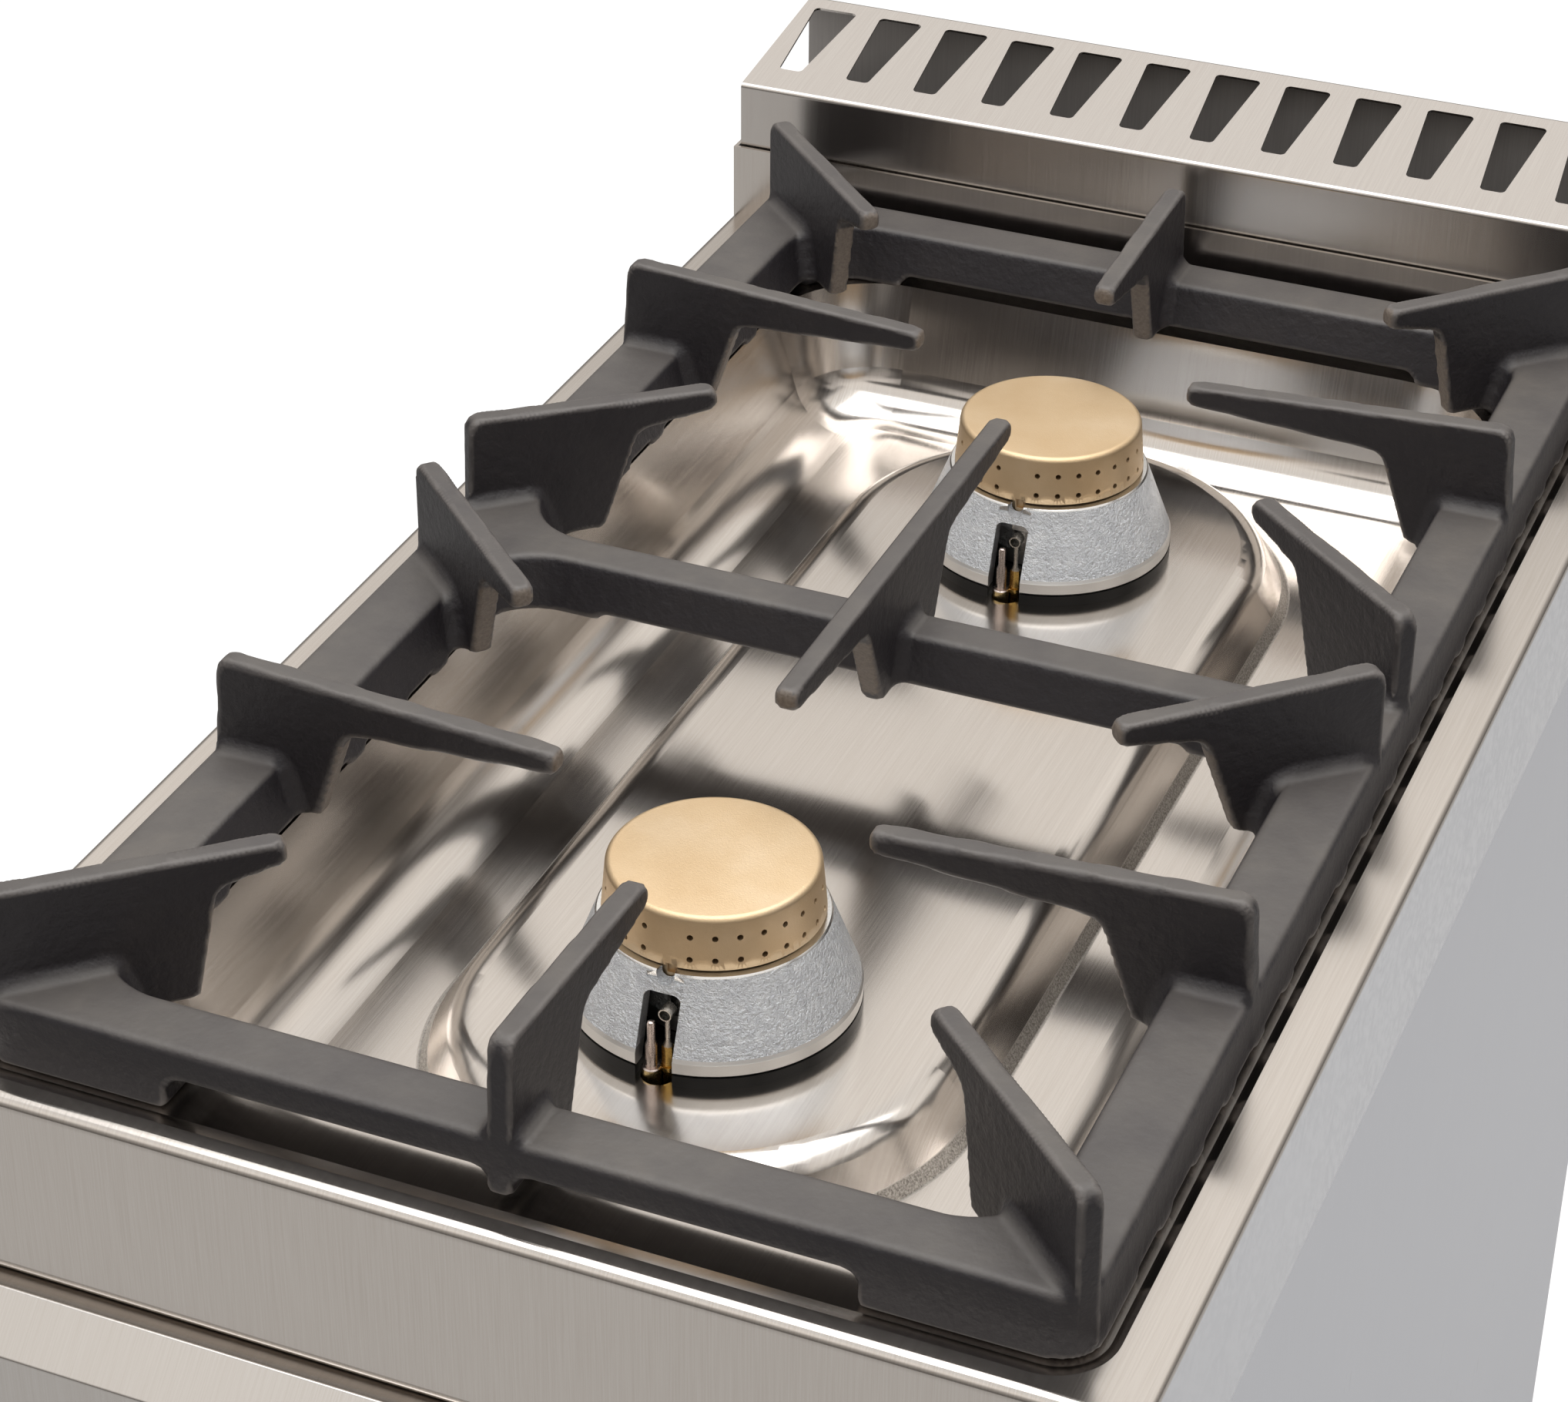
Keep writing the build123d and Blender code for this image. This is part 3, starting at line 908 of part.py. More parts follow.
def make_leg():
    """Tube leg welded to a square plate."""
    plate_top = BODY_BOTTOM_Z + SHELF_RISE - PANEL_SHEET
    plate = Pos(0, 0, plate_top - LEG_PLATE_SHEET) * extrude(
        RectangleRounded(LEG_PLATE, LEG_PLATE, 8.0), LEG_PLATE_SHEET)
    holes = GridLocations(LEG_BOLT_SPACING, LEG_BOLT_SPACING, 2, 2)
    hole = Cylinder(LEG_BOLT_RADIUS + 0.2, 20.0)
    plate = plate - [Pos(0, 0, plate_top) * place * hole for place in holes]
    low = FLOOR_Z + FLOOR_GAP_TO_TUBE
    high = plate_top - LEG_PLATE_SHEET
    leg = Pos(0, 0, (low + high) / 2) * (Cylinder(LEG_RADIUS, high - low)
                                         - Cylinder(LEG_RADIUS - LEG_WALL, high - low))
    return plate + leg


def make_insert():
    """Threaded plug in the lower end of a leg."""
    low = FLOOR_Z + FLOOR_GAP_TO_TUBE
    plug = Cylinder(LEG_RADIUS - LEG_WALL, PLUG_HEIGHT)
    bore = Cylinder(FOOT_STEM_RADIUS + RUNNING_CLEARANCE, PLUG_HEIGHT)
    return Pos(0, 0, low + PLUG_HEIGHT / 2) * (plug - bore)


def make_foot():
    """Adjustable foot: a round pad, a waisted collar that stops against the leg, a screw stem."""
    collar = FOOT_STEM_RADIUS + 5.0
    foot = turned([(0, 0), (FOOT_PAD_RADIUS - 1.0, 0), (FOOT_PAD_RADIUS, 1.0),
                   (FOOT_PAD_RADIUS, FOOT_PAD_HEIGHT - 2.0),
                   (FOOT_PAD_RADIUS - 3.0, FOOT_PAD_HEIGHT), (collar + 2.0, FOOT_PAD_HEIGHT + 2.0),
                   (collar, FOOT_PAD_HEIGHT + 4.0), (collar, FLOOR_GAP_TO_TUBE),
                   (FOOT_STEM_RADIUS, FLOOR_GAP_TO_TUBE), (FOOT_STEM_RADIUS, FOOT_STEM_LENGTH - 1.5),
                   (FOOT_STEM_RADIUS - 1.5, FOOT_STEM_LENGTH), (0, FOOT_STEM_LENGTH)])
    return Pos(0, 0, FLOOR_Z) * foot


def screw(length, radius, head_radius, head_height):
    """Button-head screw, head up, shank down from z = 0."""
    head = turned([(0, head_height), (head_radius * 0.55, head_height),
                   (head_radius * 0.9, head_height * 0.55), (head_radius, 0), (0, 0)])
    return head + Pos(0, 0, -length / 2) * Cylinder(radius, length)


def make_leg_screws():
    """Bolts of the four leg plates, heads below."""
    plate_low = BODY_BOTTOM_Z + SHELF_RISE - PANEL_SHEET - LEG_PLATE_SHEET
    bolt = Pos(0, 0, plate_low) * Rot(180, 0, 0) * screw(LEG_PLATE_SHEET, LEG_BOLT_RADIUS, *LEG_BOLT_HEAD)
    grid = GridLocations(LEG_BOLT_SPACING, LEG_BOLT_SPACING, 2, 2)
    return [Pos(x, y, 0) * place * bolt for x, y in leg_places().values() for place in grid]


def make_back_screws():
    """Screws that hold the back panel to the side panels' returns."""
    fixing = Rot(-90, 0, 0) * screw(COVER_SHEET, BACK_SCREW_RADIUS, *BACK_SCREW_HEAD)
    return [place * fixing for place in back_screw_places()]


# ---------------------------------------------------------------- build and write
def build():
    pieces = {
        "worktop": make_worktop(),
        "flue_cover": make_flue_cover(),
        "pan_support": make_pan_support(),
        "control_panel": make_control_panel(),
        "left_side_panel": make_side_panel(-1),
        "right_side_panel": make_side_panel(1),
        "back_panel": make_back_panel(),
        "compartment_ceiling": make_ceiling(),
        "base_shelf": make_base_shelf(),
        "gas_manifold": make_manifold(),
        "gas_inlet": make_gas_inlet(),
        "front_feed_tube": make_front_feed_tube(),
        "rear_feed_tube": make_rear_feed_tube(),
        "front_pilot_tube": make_front_pilot_tube(),
        "rear_pilot_tube": make_rear_pilot_tube(),
        "front_thermocouple_lead": make_front_lead(),
        "rear_thermocouple_lead": make_rear_lead(),
        "leg_screws": Compound(children=make_leg_screws()),
        "back_panel_screws": Compound(children=make_back_screws()),
    }
    for name, (y, x) in BURNERS.items():
        pieces[name + "_burner_cap"] = make_burner_cap(y)
        pieces[name + "_burner_body"] = make_burner_body(y)
        pieces[name + "_burner_cup"] = make_burner_cup(y)
        pieces[name + "_mixing_tube"] = make_mixing_tube(y)
        pieces[name + "_injector"] = make_injector(y)
        pieces[name + "_burner_bridge"] = make_burner_bridge(y)
        pieces[name + "_thermocouple"] = make_thermocouple(y)
        pieces[name + "_pilot_burner"] = make_pilot_burner(y)
        pieces[name + "_gas_valve"] = make_valve(x)
        pieces[name + "_valve_plunger"] = make_valve_plunger(x)
        pieces[name + "_valve_stem"] = make_valve_stem(x)
        pieces[name + "_knob"] = make_knob(x)
        pieces[name + "_knob_bezel"] = make_bezel(x)
    inserts = []
    for name, (x, y) in leg_places().items():
        pieces[name + "_leg"] = Pos(x, y, 0) * make_leg()
        pieces[name + "_foot"] = Pos(x, y, 0) * make_foot()
        inserts.append(Pos(x, y, 0) * make_insert())
    pieces["leg_inserts"] = Compound(children=inserts)
    return pieces


def overall_depth():
    """Front of the knobs to the end of the gas inlet."""
    knob_front = KNOB_BACK_Y - KNOB_LENGTH
    inlet_end = REAR_Y + PIPE_PROUD + INLET_HEXAGON + THREAD_LENGTH
    return knob_front, inlet_end


def main():
    os.makedirs("parts", exist_ok=True)
    front, back = overall_depth()
    stand = Pos(0, -(front + back) / 2, DECK_HEIGHT)
    for name, piece in build().items():
        export_step(stand * piece, os.path.join("parts", name + ".step"))


main()
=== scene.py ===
# %% [markdown]
# # A catering gas cooktop, finished in Blender
#
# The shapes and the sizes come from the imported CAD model, which is loaded first. This script
# gives every piece the surface that the real one has. It also makes the finer forms of the pan
# support and the burners, adds the small marks that are printed on the controls, and sets up a
# plain studio round it all. One Blender unit is one metre.

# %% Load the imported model
from math import cos, radians, sin

import bpy
from mathutils import Matrix, Vector
from mathutils.bvhtree import BVHTree


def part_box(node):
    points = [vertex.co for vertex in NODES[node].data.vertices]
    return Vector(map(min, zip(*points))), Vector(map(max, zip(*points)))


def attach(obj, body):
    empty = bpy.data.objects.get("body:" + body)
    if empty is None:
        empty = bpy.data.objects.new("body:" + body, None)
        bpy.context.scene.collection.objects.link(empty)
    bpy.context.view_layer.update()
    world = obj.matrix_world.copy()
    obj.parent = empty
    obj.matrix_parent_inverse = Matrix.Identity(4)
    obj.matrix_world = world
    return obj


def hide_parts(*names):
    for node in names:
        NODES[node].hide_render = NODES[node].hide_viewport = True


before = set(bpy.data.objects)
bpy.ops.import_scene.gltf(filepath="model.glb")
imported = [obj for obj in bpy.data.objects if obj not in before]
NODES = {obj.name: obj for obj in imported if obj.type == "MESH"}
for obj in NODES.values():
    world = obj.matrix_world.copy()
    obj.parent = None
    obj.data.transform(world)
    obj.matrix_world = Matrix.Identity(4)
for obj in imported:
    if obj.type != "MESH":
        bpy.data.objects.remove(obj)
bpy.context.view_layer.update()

MM = 0.001
print("loaded", len(NODES), "pieces")

# %% [markdown]
# ## Where the camera stands
#
# The photograph was taken with a long lens, from the front right and from above. Its straight
# edges give the direction: the camera is turned 22.6 degrees to the left of the cooktop's own
# long axis and looks down at 32.4 degrees. The place is measured from the worktop's front edge
# and its upper face, so the camera keeps its view of the burners whatever is under them.

# %% Camera
deck_low, deck_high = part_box("worktop")
UPSTAND = 30.6 * MM
DECK = deck_high.z - UPSTAND
NOSE = deck_low.y
FRONT_BURNER = NOSE + 171.8 * MM
PITCH = 318.3 * MM           # front burner's axis to the rear one's
PHOTO_WIDTH = 2036           # pixels
FOCAL_LENGTH = 4958.5        # in the photograph's pixels
SENSOR = 36.0

camera_data = bpy.data.cameras.new("photo_camera")
camera_data.sensor_width = SENSOR
camera_data.lens = SENSOR * FOCAL_LENGTH / PHOTO_WIDTH
camera_data.clip_end = 50.0
camera = bpy.data.objects.new("photo_camera", camera_data)
bpy.context.scene.collection.objects.link(camera)
bpy.context.scene.camera = camera

turn, down, roll = radians(-22.56), radians(32.40), radians(-0.44)
ahead = Vector((sin(turn) * cos(down), cos(turn) * cos(down), -sin(down)))
right = ahead.cross(Vector((0, 0, 1))).normalized()
below = ahead.cross(right)
tilted_right = right * cos(roll) + below * sin(roll)
tilted_below = below * cos(roll) - right * sin(roll)
place = Vector((398.56 * MM, NOSE - 731.27 * MM, DECK + 704.73 * MM))
camera.matrix_world = Matrix((
    (tilted_right.x, -tilted_below.x, -ahead.x, place.x),
    (tilted_right.y, -tilted_below.y, -ahead.y, place.y),
    (tilted_right.z, -tilted_below.z, -ahead.z, place.z),
    (0, 0, 0, 1)))
print("camera at", [round(v, 4) for v in place])

# %% [markdown]
# ## Building a material
#
# Every finish below is made of shader nodes. One function adds a node: its settings are given
# by name, and each input takes either a value or the output of an earlier node. Colours are
# written as the hex values that a paint chart would show, and one function turns them into the
# linear light that Blender works in. The others are steps that come back in nearly every
# finish: a colour ramp, a grain, a change from one height to another, and a bump.


# %% Helpers for materials
def light(hex_colour):
    """An sRGB hex colour as linear red, green, blue and alpha."""
    parts = [int(hex_colour[i:i + 2], 16) / 255 for i in (1, 3, 5)]
    linear = [p / 12.92 if p <= 0.04045 else ((p + 0.055) / 1.055) ** 2.4 for p in parts]
    return (*linear, 1.0)


def add(tree, kind, inputs=None, **settings):
    """Adds a node; inputs maps a socket's name or number to a value or to another node's output."""
    node = tree.nodes.new("ShaderNode" + kind)
    for name, value in settings.items():
        setattr(node, name, value)
    for key, value in (inputs or {}).items():
        socket = node.inputs[key]
        if isinstance(value, bpy.types.NodeSocket):
            tree.links.new(value, socket)
        else:
            socket.default_value = value
    return node


def new_material(name):
    """An empty material with its output and its main shader, joined."""
    material = bpy.data.materials.new(name)
    material.use_nodes = True
    tree = material.node_tree
    tree.nodes.clear()
    shader = add(tree, "BsdfPrincipled")
    add(tree, "OutputMaterial", {"Surface": shader.outputs["BSDF"]})
    return material, tree, shader


def ramp(tree, factor, stops):
    """A colour ramp over (position, hex colour) stops."""
    node = add(tree, "ValToRGB", {"Fac": factor})
    line = node.color_ramp
    for position, colour in stops[1:-1]:
        line.elements.new(position).color = light(colour)
    line.elements[0].position, line.elements[0].color = stops[0][0], light(stops[0][1])
    line.elements[-1].position, line.elements[-1].color = stops[-1][0], light(stops[-1][1])
    return node.outputs["Color"]


def grain(tree, scale, stretch=(1, 1, 1), detail=2.0, rough=0.5):
    """Noise in the piece's own place; scale is grains per metre, stretch lengthens them."""
    where = add(tree, "TexCoord").outputs["Object"]
    moved = add(tree, "Mapping", {"Vector": where, "Scale": stretch}).outputs["Vector"]
    inputs = {"Vector": moved, "Scale": scale, "Detail": detail, "Roughness": rough}
    return add(tree, "TexNoise", inputs).outputs["Fac"]


def span(tree, value, low, high):
    """Stretches a 0 to 1 value to run from low to high."""
    return add(tree, "MapRange", {"Value": value, "To Min": low, "To Max": high}).outputs["Result"]


def between(tree, value, start, end, low=0.0, high=1.0):
    """Low up to start, high from end, and a straight rise between them."""
    ends = {"Value": value, "From Min": start, "From Max": end, "To Min": low, "To Max": high}
    return add(tree, "MapRange", ends).outputs["Result"]


def bump(tree, height, distance, strength=1.0, normal=None):
    """Turns a height pattern into a surface normal; distance is the height in metres."""
    inputs = {"Height": height, "Distance": distance, "Strength": strength}
    if normal is not None:
        inputs["Normal"] = normal
    return add(tree, "Bump", inputs).outputs["Normal"]


# %% [markdown]
# ## Stainless steel sheet
#
# The worktop, the flue and the body are 18/10 stainless sheet with a satin finish: it is ground
# with a belt, which leaves fine parallel scratches, about a tenth of a millimetre apart. That
# is too fine for the picture, so they are drawn 0.5 mm apart and only a micrometre deep. They
# run from front to rear and down the front faces, so the noise is stretched along y and z, and
# on the body's panels they run straight down. A ground sheet smears a reflection mostly across
# its scratches. The shader does this with its anisotropic setting, whose tangent is the
# direction of the smear, here the x axis.


# %% Satin sheet
def satin_steel(name, pale, dark, roughness, stretch, scratch=1.3e-6):
    """Belt-ground sheet; stretch makes the noise long in the direction of the scratches."""
    material, tree, shader = new_material(name)
    fine = grain(tree, 2000, stretch, detail=3.0, rough=0.62)
    cloud = grain(tree, 7, detail=3.0)
    shader.inputs["Metallic"].default_value = 1.0
    shade = ramp(tree, fine, [(0.32, dark), (0.68, pale)])
    tree.links.new(shade, shader.inputs["Base Color"])
    mixed = add(tree, "Math", {0: fine, 1: cloud}, operation="ADD").outputs[0]
    rough = between(tree, mixed, 0.6, 1.4, roughness[0], roughness[1])
    tree.links.new(rough, shader.inputs["Roughness"])
    tree.links.new(bump(tree, fine, scratch), shader.inputs["Normal"])
    shader.inputs["Anisotropic"].default_value = 0.8
    across = add(tree, "CombineXYZ", {"X": 1.0}).outputs[0]
    tree.links.new(across, shader.inputs["Tangent"])
    return material, tree, shader


LENGTHWISE = (1.0, 0.014, 0.014)
UPRIGHT = (1.0, 1.0, 0.014)
steel_flue, _, _ = satin_steel("stainless_satin_flue", "#d3cec9", "#cbc5c0", (0.20, 0.26), LENGTHWISE)
steel_panel, _, _ = satin_steel("stainless_satin_panel", "#d0ccc8", "#c9c4bf", (0.20, 0.26), LENGTHWISE)
steel_body, _, _ = satin_steel("stainless_satin_body", "#dfe1e7", "#dadce2", (0.27, 0.33), UPRIGHT,
                               scratch=0.4e-6)
steel_inside, _, inside = satin_steel("stainless_mill_finish", "#c9c5c2", "#bdb9b6", (0.46, 0.56),
                                      UPRIGHT)
inside.inputs["Metallic"].default_value = 0.55

# %% [markdown]
# ## The pressed worktop
#
# The worktop is one sheet of the same steel, and two things set it apart. Where the press has
# pulled the sheet round the foot of the island, the surface has opened up into a dull, speckled
# band, about four millimetres wide. The band follows the island, whose plan is a stadium, so
# its distance to the line through the two burners tells where it is. The side skirts stand
# upright and have the cooler, plainer surface of the side panels below them.


# %% Worktop
ISLAND_STRAIGHT = PITCH / 2 + 5.0 * MM           # that line reaches a little past each burner
BAND_INNER = (89.6 * MM, 90.4 * MM)              # the band comes in and goes out over these distances
BAND_OUTER = (93.4 * MM, 94.6 * MM)
WELL_FLOOR = (DECK - 50.6 * MM, DECK - 50.0 * MM)


def island_distance(tree):
    """Distance in plan from the line through the two burners, in metres, and the height."""
    where = add(tree, "TexCoord").outputs["Object"]
    centred = add(tree, "Mapping", {"Vector": where, "Location": (0, -(FRONT_BURNER + PITCH / 2), 0)})
    split = add(tree, "SeparateXYZ", {0: centred.outputs["Vector"]}).outputs
    size_y = add(tree, "Math", {0: split["Y"]}, operation="ABSOLUTE").outputs[0]
    past_end = add(tree, "Math", {0: size_y, 1: ISLAND_STRAIGHT}, operation="SUBTRACT").outputs[0]
    beyond = add(tree, "Math", {0: past_end, 1: 0.0}, operation="MAXIMUM").outputs[0]
    plan = add(tree, "CombineXYZ", {"X": split["X"], "Y": beyond}).outputs[0]
    return add(tree, "VectorMath", {0: plan}, operation="LENGTH").outputs["Value"], split["Z"]


def pressed_worktop():
    """Satin sheet with the dull band round the island and the plainer skirts."""
    material, tree, shader = satin_steel("stainless_satin_pressed", "#d6d0ca", "#cdc6bf", (0.14, 0.20),
                                         LENGTHWISE)
    distance, z = island_distance(tree)
    inner = between(tree, distance, *BAND_INNER)
    outer = between(tree, distance, *BAND_OUTER, 1.0, 0.0)
    low = between(tree, z, *WELL_FLOOR, 1.0, 0.0)
    band = add(tree, "Math", {0: inner, 1: outer}, operation="MULTIPLY").outputs[0]
    band = add(tree, "Math", {0: band, 1: low}, operation="MULTIPLY").outputs[0]
    speckle = grain(tree, 1300, detail=4.0, rough=0.75)
    pitted = ramp(tree, speckle, [(0.35, "#6f6a65"), (0.62, "#bdb8b1")])
    plain = shader.inputs["Base Color"].links[0].from_socket
    shade = add(tree, "Mix", {0: band, 6: plain, 7: pitted}, data_type="RGBA").outputs[2]
    facing = add(tree, "NewGeometry").outputs["True Normal"]
    sideways = add(tree, "SeparateXYZ", {0: facing}).outputs["X"]
    upright = add(tree, "Math", {0: sideways}, operation="ABSOLUTE").outputs[0]
    skirt = between(tree, upright, 0.97, 0.99)
    shade = add(tree, "Mix", {0: skirt, 6: shade, 7: light("#dfe1e7")}, data_type="RGBA").outputs[2]
    tree.links.new(shade, shader.inputs["Base Color"])
    satin = shader.inputs["Roughness"].links[0].from_socket
    rough = add(tree, "Mix", {0: band, 2: satin, 3: 0.46}, data_type="FLOAT").outputs[0]
    tree.links.new(rough, shader.inputs["Roughness"])
    scratched = shader.inputs["Normal"].links[0].from_socket
    depth = add(tree, "Math", {0: speckle, 1: band}, operation="MULTIPLY").outputs[0]
    tree.links.new(bump(tree, depth, 0.12 * MM, 0.8, scratched), shader.inputs["Normal"])
    return material


steel_worktop = pressed_worktop()
print("steel finishes ready")

# %% [markdown]
# ## Cast iron
#
# The pan support is grey cast iron from a sand mould with a thin matt black enamel. The sand
# leaves a skin of bumps, one to four millimetres wide, coarse on the upright faces. On the tops
# the pans have made it smoother, and the tops are painted paler as painted top light. The colour
# is near-black, and the edges are painted greyer as a painted highlight. The ends of the fingers
# and of their webs have been ground after casting: there the skin is gone and the bare iron is a
# warm grey-brown. The casting below carries that place as an attribute.


# %% Sand-cast skin
def cast_iron():
    """Dark on the sides; painted top light on the tops and a painted highlight on the edges; bare where
    the attribute says ground.
    """
    material, tree, shader = new_material("cast_iron_matt_enamel")
    sand = grain(tree, 850, detail=4.0, rough=0.62)
    lumps = grain(tree, 240, detail=2.0)
    stain = grain(tree, 22, detail=4.0, rough=0.65)
    geometry = add(tree, "NewGeometry").outputs
    upward = add(tree, "SeparateXYZ", {0: geometry["Normal"]}).outputs["Z"]
    top = between(tree, upward, 0.55, 0.9)
    edge = between(tree, geometry["Pointiness"], 0.515, 0.57)
    side = ramp(tree, stain, [(0.30, "#1f1c20"), (0.55, "#262326"), (0.75, "#2d292a")])
    # The tops are painted paler than the sides: painted top light.
    lit_top = ramp(tree, stain, [(0.30, "#4a4645"), (0.55, "#55514e"), (0.75, "#5f5a55")])
    skin = add(tree, "Mix", {0: top, 6: side, 7: lit_top}, data_type="RGBA").outputs[2]
    # Convex edges, found by pointiness, are painted greyer: a painted highlight.
    lit_edge = add(tree, "Mix", {0: edge, 6: skin, 7: light("#6b6663")}, data_type="RGBA").outputs[2]
    bare = ramp(tree, sand, [(0.3, "#5d544c"), (0.7, "#7a7067")])
    ground = add(tree, "Attribute", attribute_name="ground").outputs["Fac"]
    shade = add(tree, "Mix", {0: ground, 6: lit_edge, 7: bare}, data_type="RGBA").outputs[2]
    tree.links.new(shade, shader.inputs["Base Color"])
    tree.links.new(span(tree, sand, 0.44, 0.60), shader.inputs["Roughness"])
    coarse = between(tree, top, 0.0, 1.0, 0.9, 0.35)
    low = bump(tree, lumps, 0.55 * MM, coarse)
    tree.links.new(bump(tree, sand, 0.22 * MM, coarse, low), shader.inputs["Normal"])
    shader.inputs["Specular IOR Level"].default_value = 0.5
    return material


iron = cast_iron()
print("cast iron ready")

# %% [markdown]
# ## The casting
#
# On the real pan support, the metal flows from each finger into the bar below it through soft
# hollow roundings, because a sharp inner corner would tear while the iron cools. The CAD model
# has those corners sharp, so the support is made again here from a copy of its mesh. A voxel
# remesh gives an even skin, the skin is pushed out and pulled back by the same amount, which
# fills only the hollow corners, and a little smoothing takes the steps away. What still lies
# within three quarters of a millimetre of the CAD surface is then laid back onto it, so the
# flats stay flat. Push the skin out too far and the small notches under the bars would close.

# %% Rounding the hollow corners
ROUNDING = 3.0 * MM
SKIN = 1.25 * MM
WELD = 0.01 * MM             # points closer than this become one
FLAT_REACH = 0.75 * MM       # skin this near to the CAD surface is laid back onto it
FLAT_FADE = 0.3 * MM
MOST_TRIANGLES = 185000
bpy.ops.object.select_all(action="DESELECT")
casting = bpy.data.objects.new("pan_support_casting", NODES["pan_support"].data.copy())
bpy.context.scene.collection.objects.link(casting)
casting.select_set(True)
bpy.context.view_layer.objects.active = casting
bpy.ops.object.mode_set(mode="EDIT")
bpy.ops.mesh.select_all(action="SELECT")
bpy.ops.mesh.remove_doubles(threshold=WELD)
bpy.ops.object.mode_set(mode="OBJECT")


def apply_modifier(kind, **settings):
    """Adds a modifier to the active piece and applies it."""
    modifier = bpy.context.object.modifiers.new(kind.lower(), kind)
    for name, value in settings.items():
        setattr(modifier, name, value)
    bpy.ops.object.modifier_apply(modifier=modifier.name)


def flats():
    """Marks every point that lies on the CAD surface still, and gives the group's name."""
    group = casting.vertex_groups.new(name="flats")
    old_skin = BVHTree.FromObject(NODES["pan_support"], bpy.context.evaluated_depsgraph_get())
    for point in casting.data.vertices:
        distance = old_skin.find_nearest(point.co)[3]
        if distance < FLAT_REACH:
            group.add([point.index], min(1.0, (FLAT_REACH - distance) / FLAT_FADE), "ADD")
    return group.name


apply_modifier("REMESH", mode="VOXEL", voxel_size=SKIN)
apply_modifier("DISPLACE", strength=ROUNDING, mid_level=0.0)
apply_modifier("REMESH", mode="VOXEL", voxel_size=SKIN)
apply_modifier("SMOOTH", factor=0.5, iterations=2)
apply_modifier("DISPLACE", strength=-ROUNDING, mid_level=0.0)
apply_modifier("REMESH", mode="VOXEL", voxel_size=SKIN)
apply_modifier("SMOOTH", factor=0.5, iterations=2)
apply_modifier("SHRINKWRAP", target=NODES["pan_support"], vertex_group=flats())
apply_modifier("SMOOTH", factor=0.5, iterations=1)
faces = 2 * len(casting.data.polygons)
apply_modifier("DECIMATE", ratio=min(1.0, MOST_TRIANGLES / faces))
bpy.ops.object.shade_smooth()
print("casting:", faces, "triangles before thinning,", len(casting.data.polygons), "after")

# %% [markdown]
# The ground ends are found by their place. Every finger is a plate that runs from its heel
# towards a burner, so a point is on an end when it is close to the plane across the plate
# there. The web's end leans, so its plane is given at the web's top and at its foot.

# %% Ground ends
GRATE_HALF = 178.5           # outside of the side bars
GRATE_FRONT = -153.5         # outside of the front bar, from the front burner's axis
BURNER_PITCH = PITCH / MM
GRATE_REAR = BURNER_PITCH - GRATE_FRONT
MIDDLE = BURNER_PITCH / 2
HALF_PLATE = 4.1             # half a finger's thickness and a little more
TIP_LOW_Z = 30.0
STRAIGHT_SIDE = (125.5, (50.5, 34.5), (38.5, -3.5))      # reach, web's top (s, z), web's foot
STRAIGHT_END = (96.5, (51.5, 34.5), (40.5, -3.5))
CORNER = (96.4, (74.0, 38.4), (66.0, -3.5))
INNER = (96.2, (66.0, 38.4), (52.0, -3.5))
DOUBLE = (102.0, (39.0, 35.5), (24.0, -3.5))
HEEL_IN = 2.8                # heels of slanting fingers, in from the side bar's outside
CORNER_HEEL = 5.6
CORNER_AHEAD = (0.72, 0.694)
INNER_HEEL = 15.0
INNER_AHEAD = (0.741, 0.671)
BEFORE_END, PAST_END = 0.9, 1.5
WEB_REACH = 1.2
BELOW_WEB_TOP = 5.0
fingers = []
for turn in (1, -1):
    front = GRATE_FRONT if turn > 0 else GRATE_REAR
    fingers.append((0.0, front, 0.0, turn, STRAIGHT_END))
    for side in (-1, 1):
        burner_y = 0.0 if turn > 0 else BURNER_PITCH
        fingers.append((side * GRATE_HALF, burner_y, -side, 0.0, STRAIGHT_SIDE))
        heel_x = side * (GRATE_HALF - HEEL_IN)
        ahead_x, ahead_y = CORNER_AHEAD
        fingers.append((heel_x, front + turn * CORNER_HEEL, -side * ahead_x, turn * ahead_y, CORNER))
        ahead_x, ahead_y = INNER_AHEAD
        fingers.append((heel_x, MIDDLE - turn * INNER_HEEL, -side * ahead_x, -turn * ahead_y, INNER))
    fingers.append((0.0, MIDDLE, 0.0, turn, DOUBLE))

count = len(casting.data.vertices)
places = [0.0] * (3 * count)
casting.data.vertices.foreach_get("co", places)
ground = [0.0] * count
for i in range(count):
    x = places[3 * i] / MM
    y = (places[3 * i + 1] - FRONT_BURNER) / MM
    z = (places[3 * i + 2] - DECK) / MM
    for heel_x, heel_y, ahead_x, ahead_y, (reach, high, low) in fingers:
        side_step = (x - heel_x) * ahead_y - (y - heel_y) * ahead_x
        if abs(side_step) > HALF_PLATE:
            continue
        along = (x - heel_x) * ahead_x + (y - heel_y) * ahead_y
        if reach - BEFORE_END < along < reach + PAST_END and z > TIP_LOW_Z:
            ground[i] = 1.0
        web_end = low[0] + (high[0] - low[0]) * (z - low[1]) / (high[1] - low[1])
        if abs(along - web_end) < WEB_REACH and z < high[1] - BELOW_WEB_TOP:
            ground[i] = 1.0
marks = casting.data.attributes.new("ground", "FLOAT", "POINT")
marks.data.foreach_set("value", ground)
casting.data.materials.clear()
casting.data.materials.append(iron)
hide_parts("pan_support")
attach(casting, "pan_support_body")
print("ground ends:", int(sum(ground)), "points of", count)

# %% [markdown]
# ## The burners
#
# The cap is forged brass, blasted with fine glass beads: matt and pale, with a grain of about
# half a millimetre. The body is aluminium cast in sand and shot-blasted, so thousands of
# tiny facets sparkle. Its rim, the chamfer beside it and the band round its foot are turned on
# a lathe, and the flat over the pilot's slot is milled, so they are smooth. The cup under it is
# black vitreous enamel.


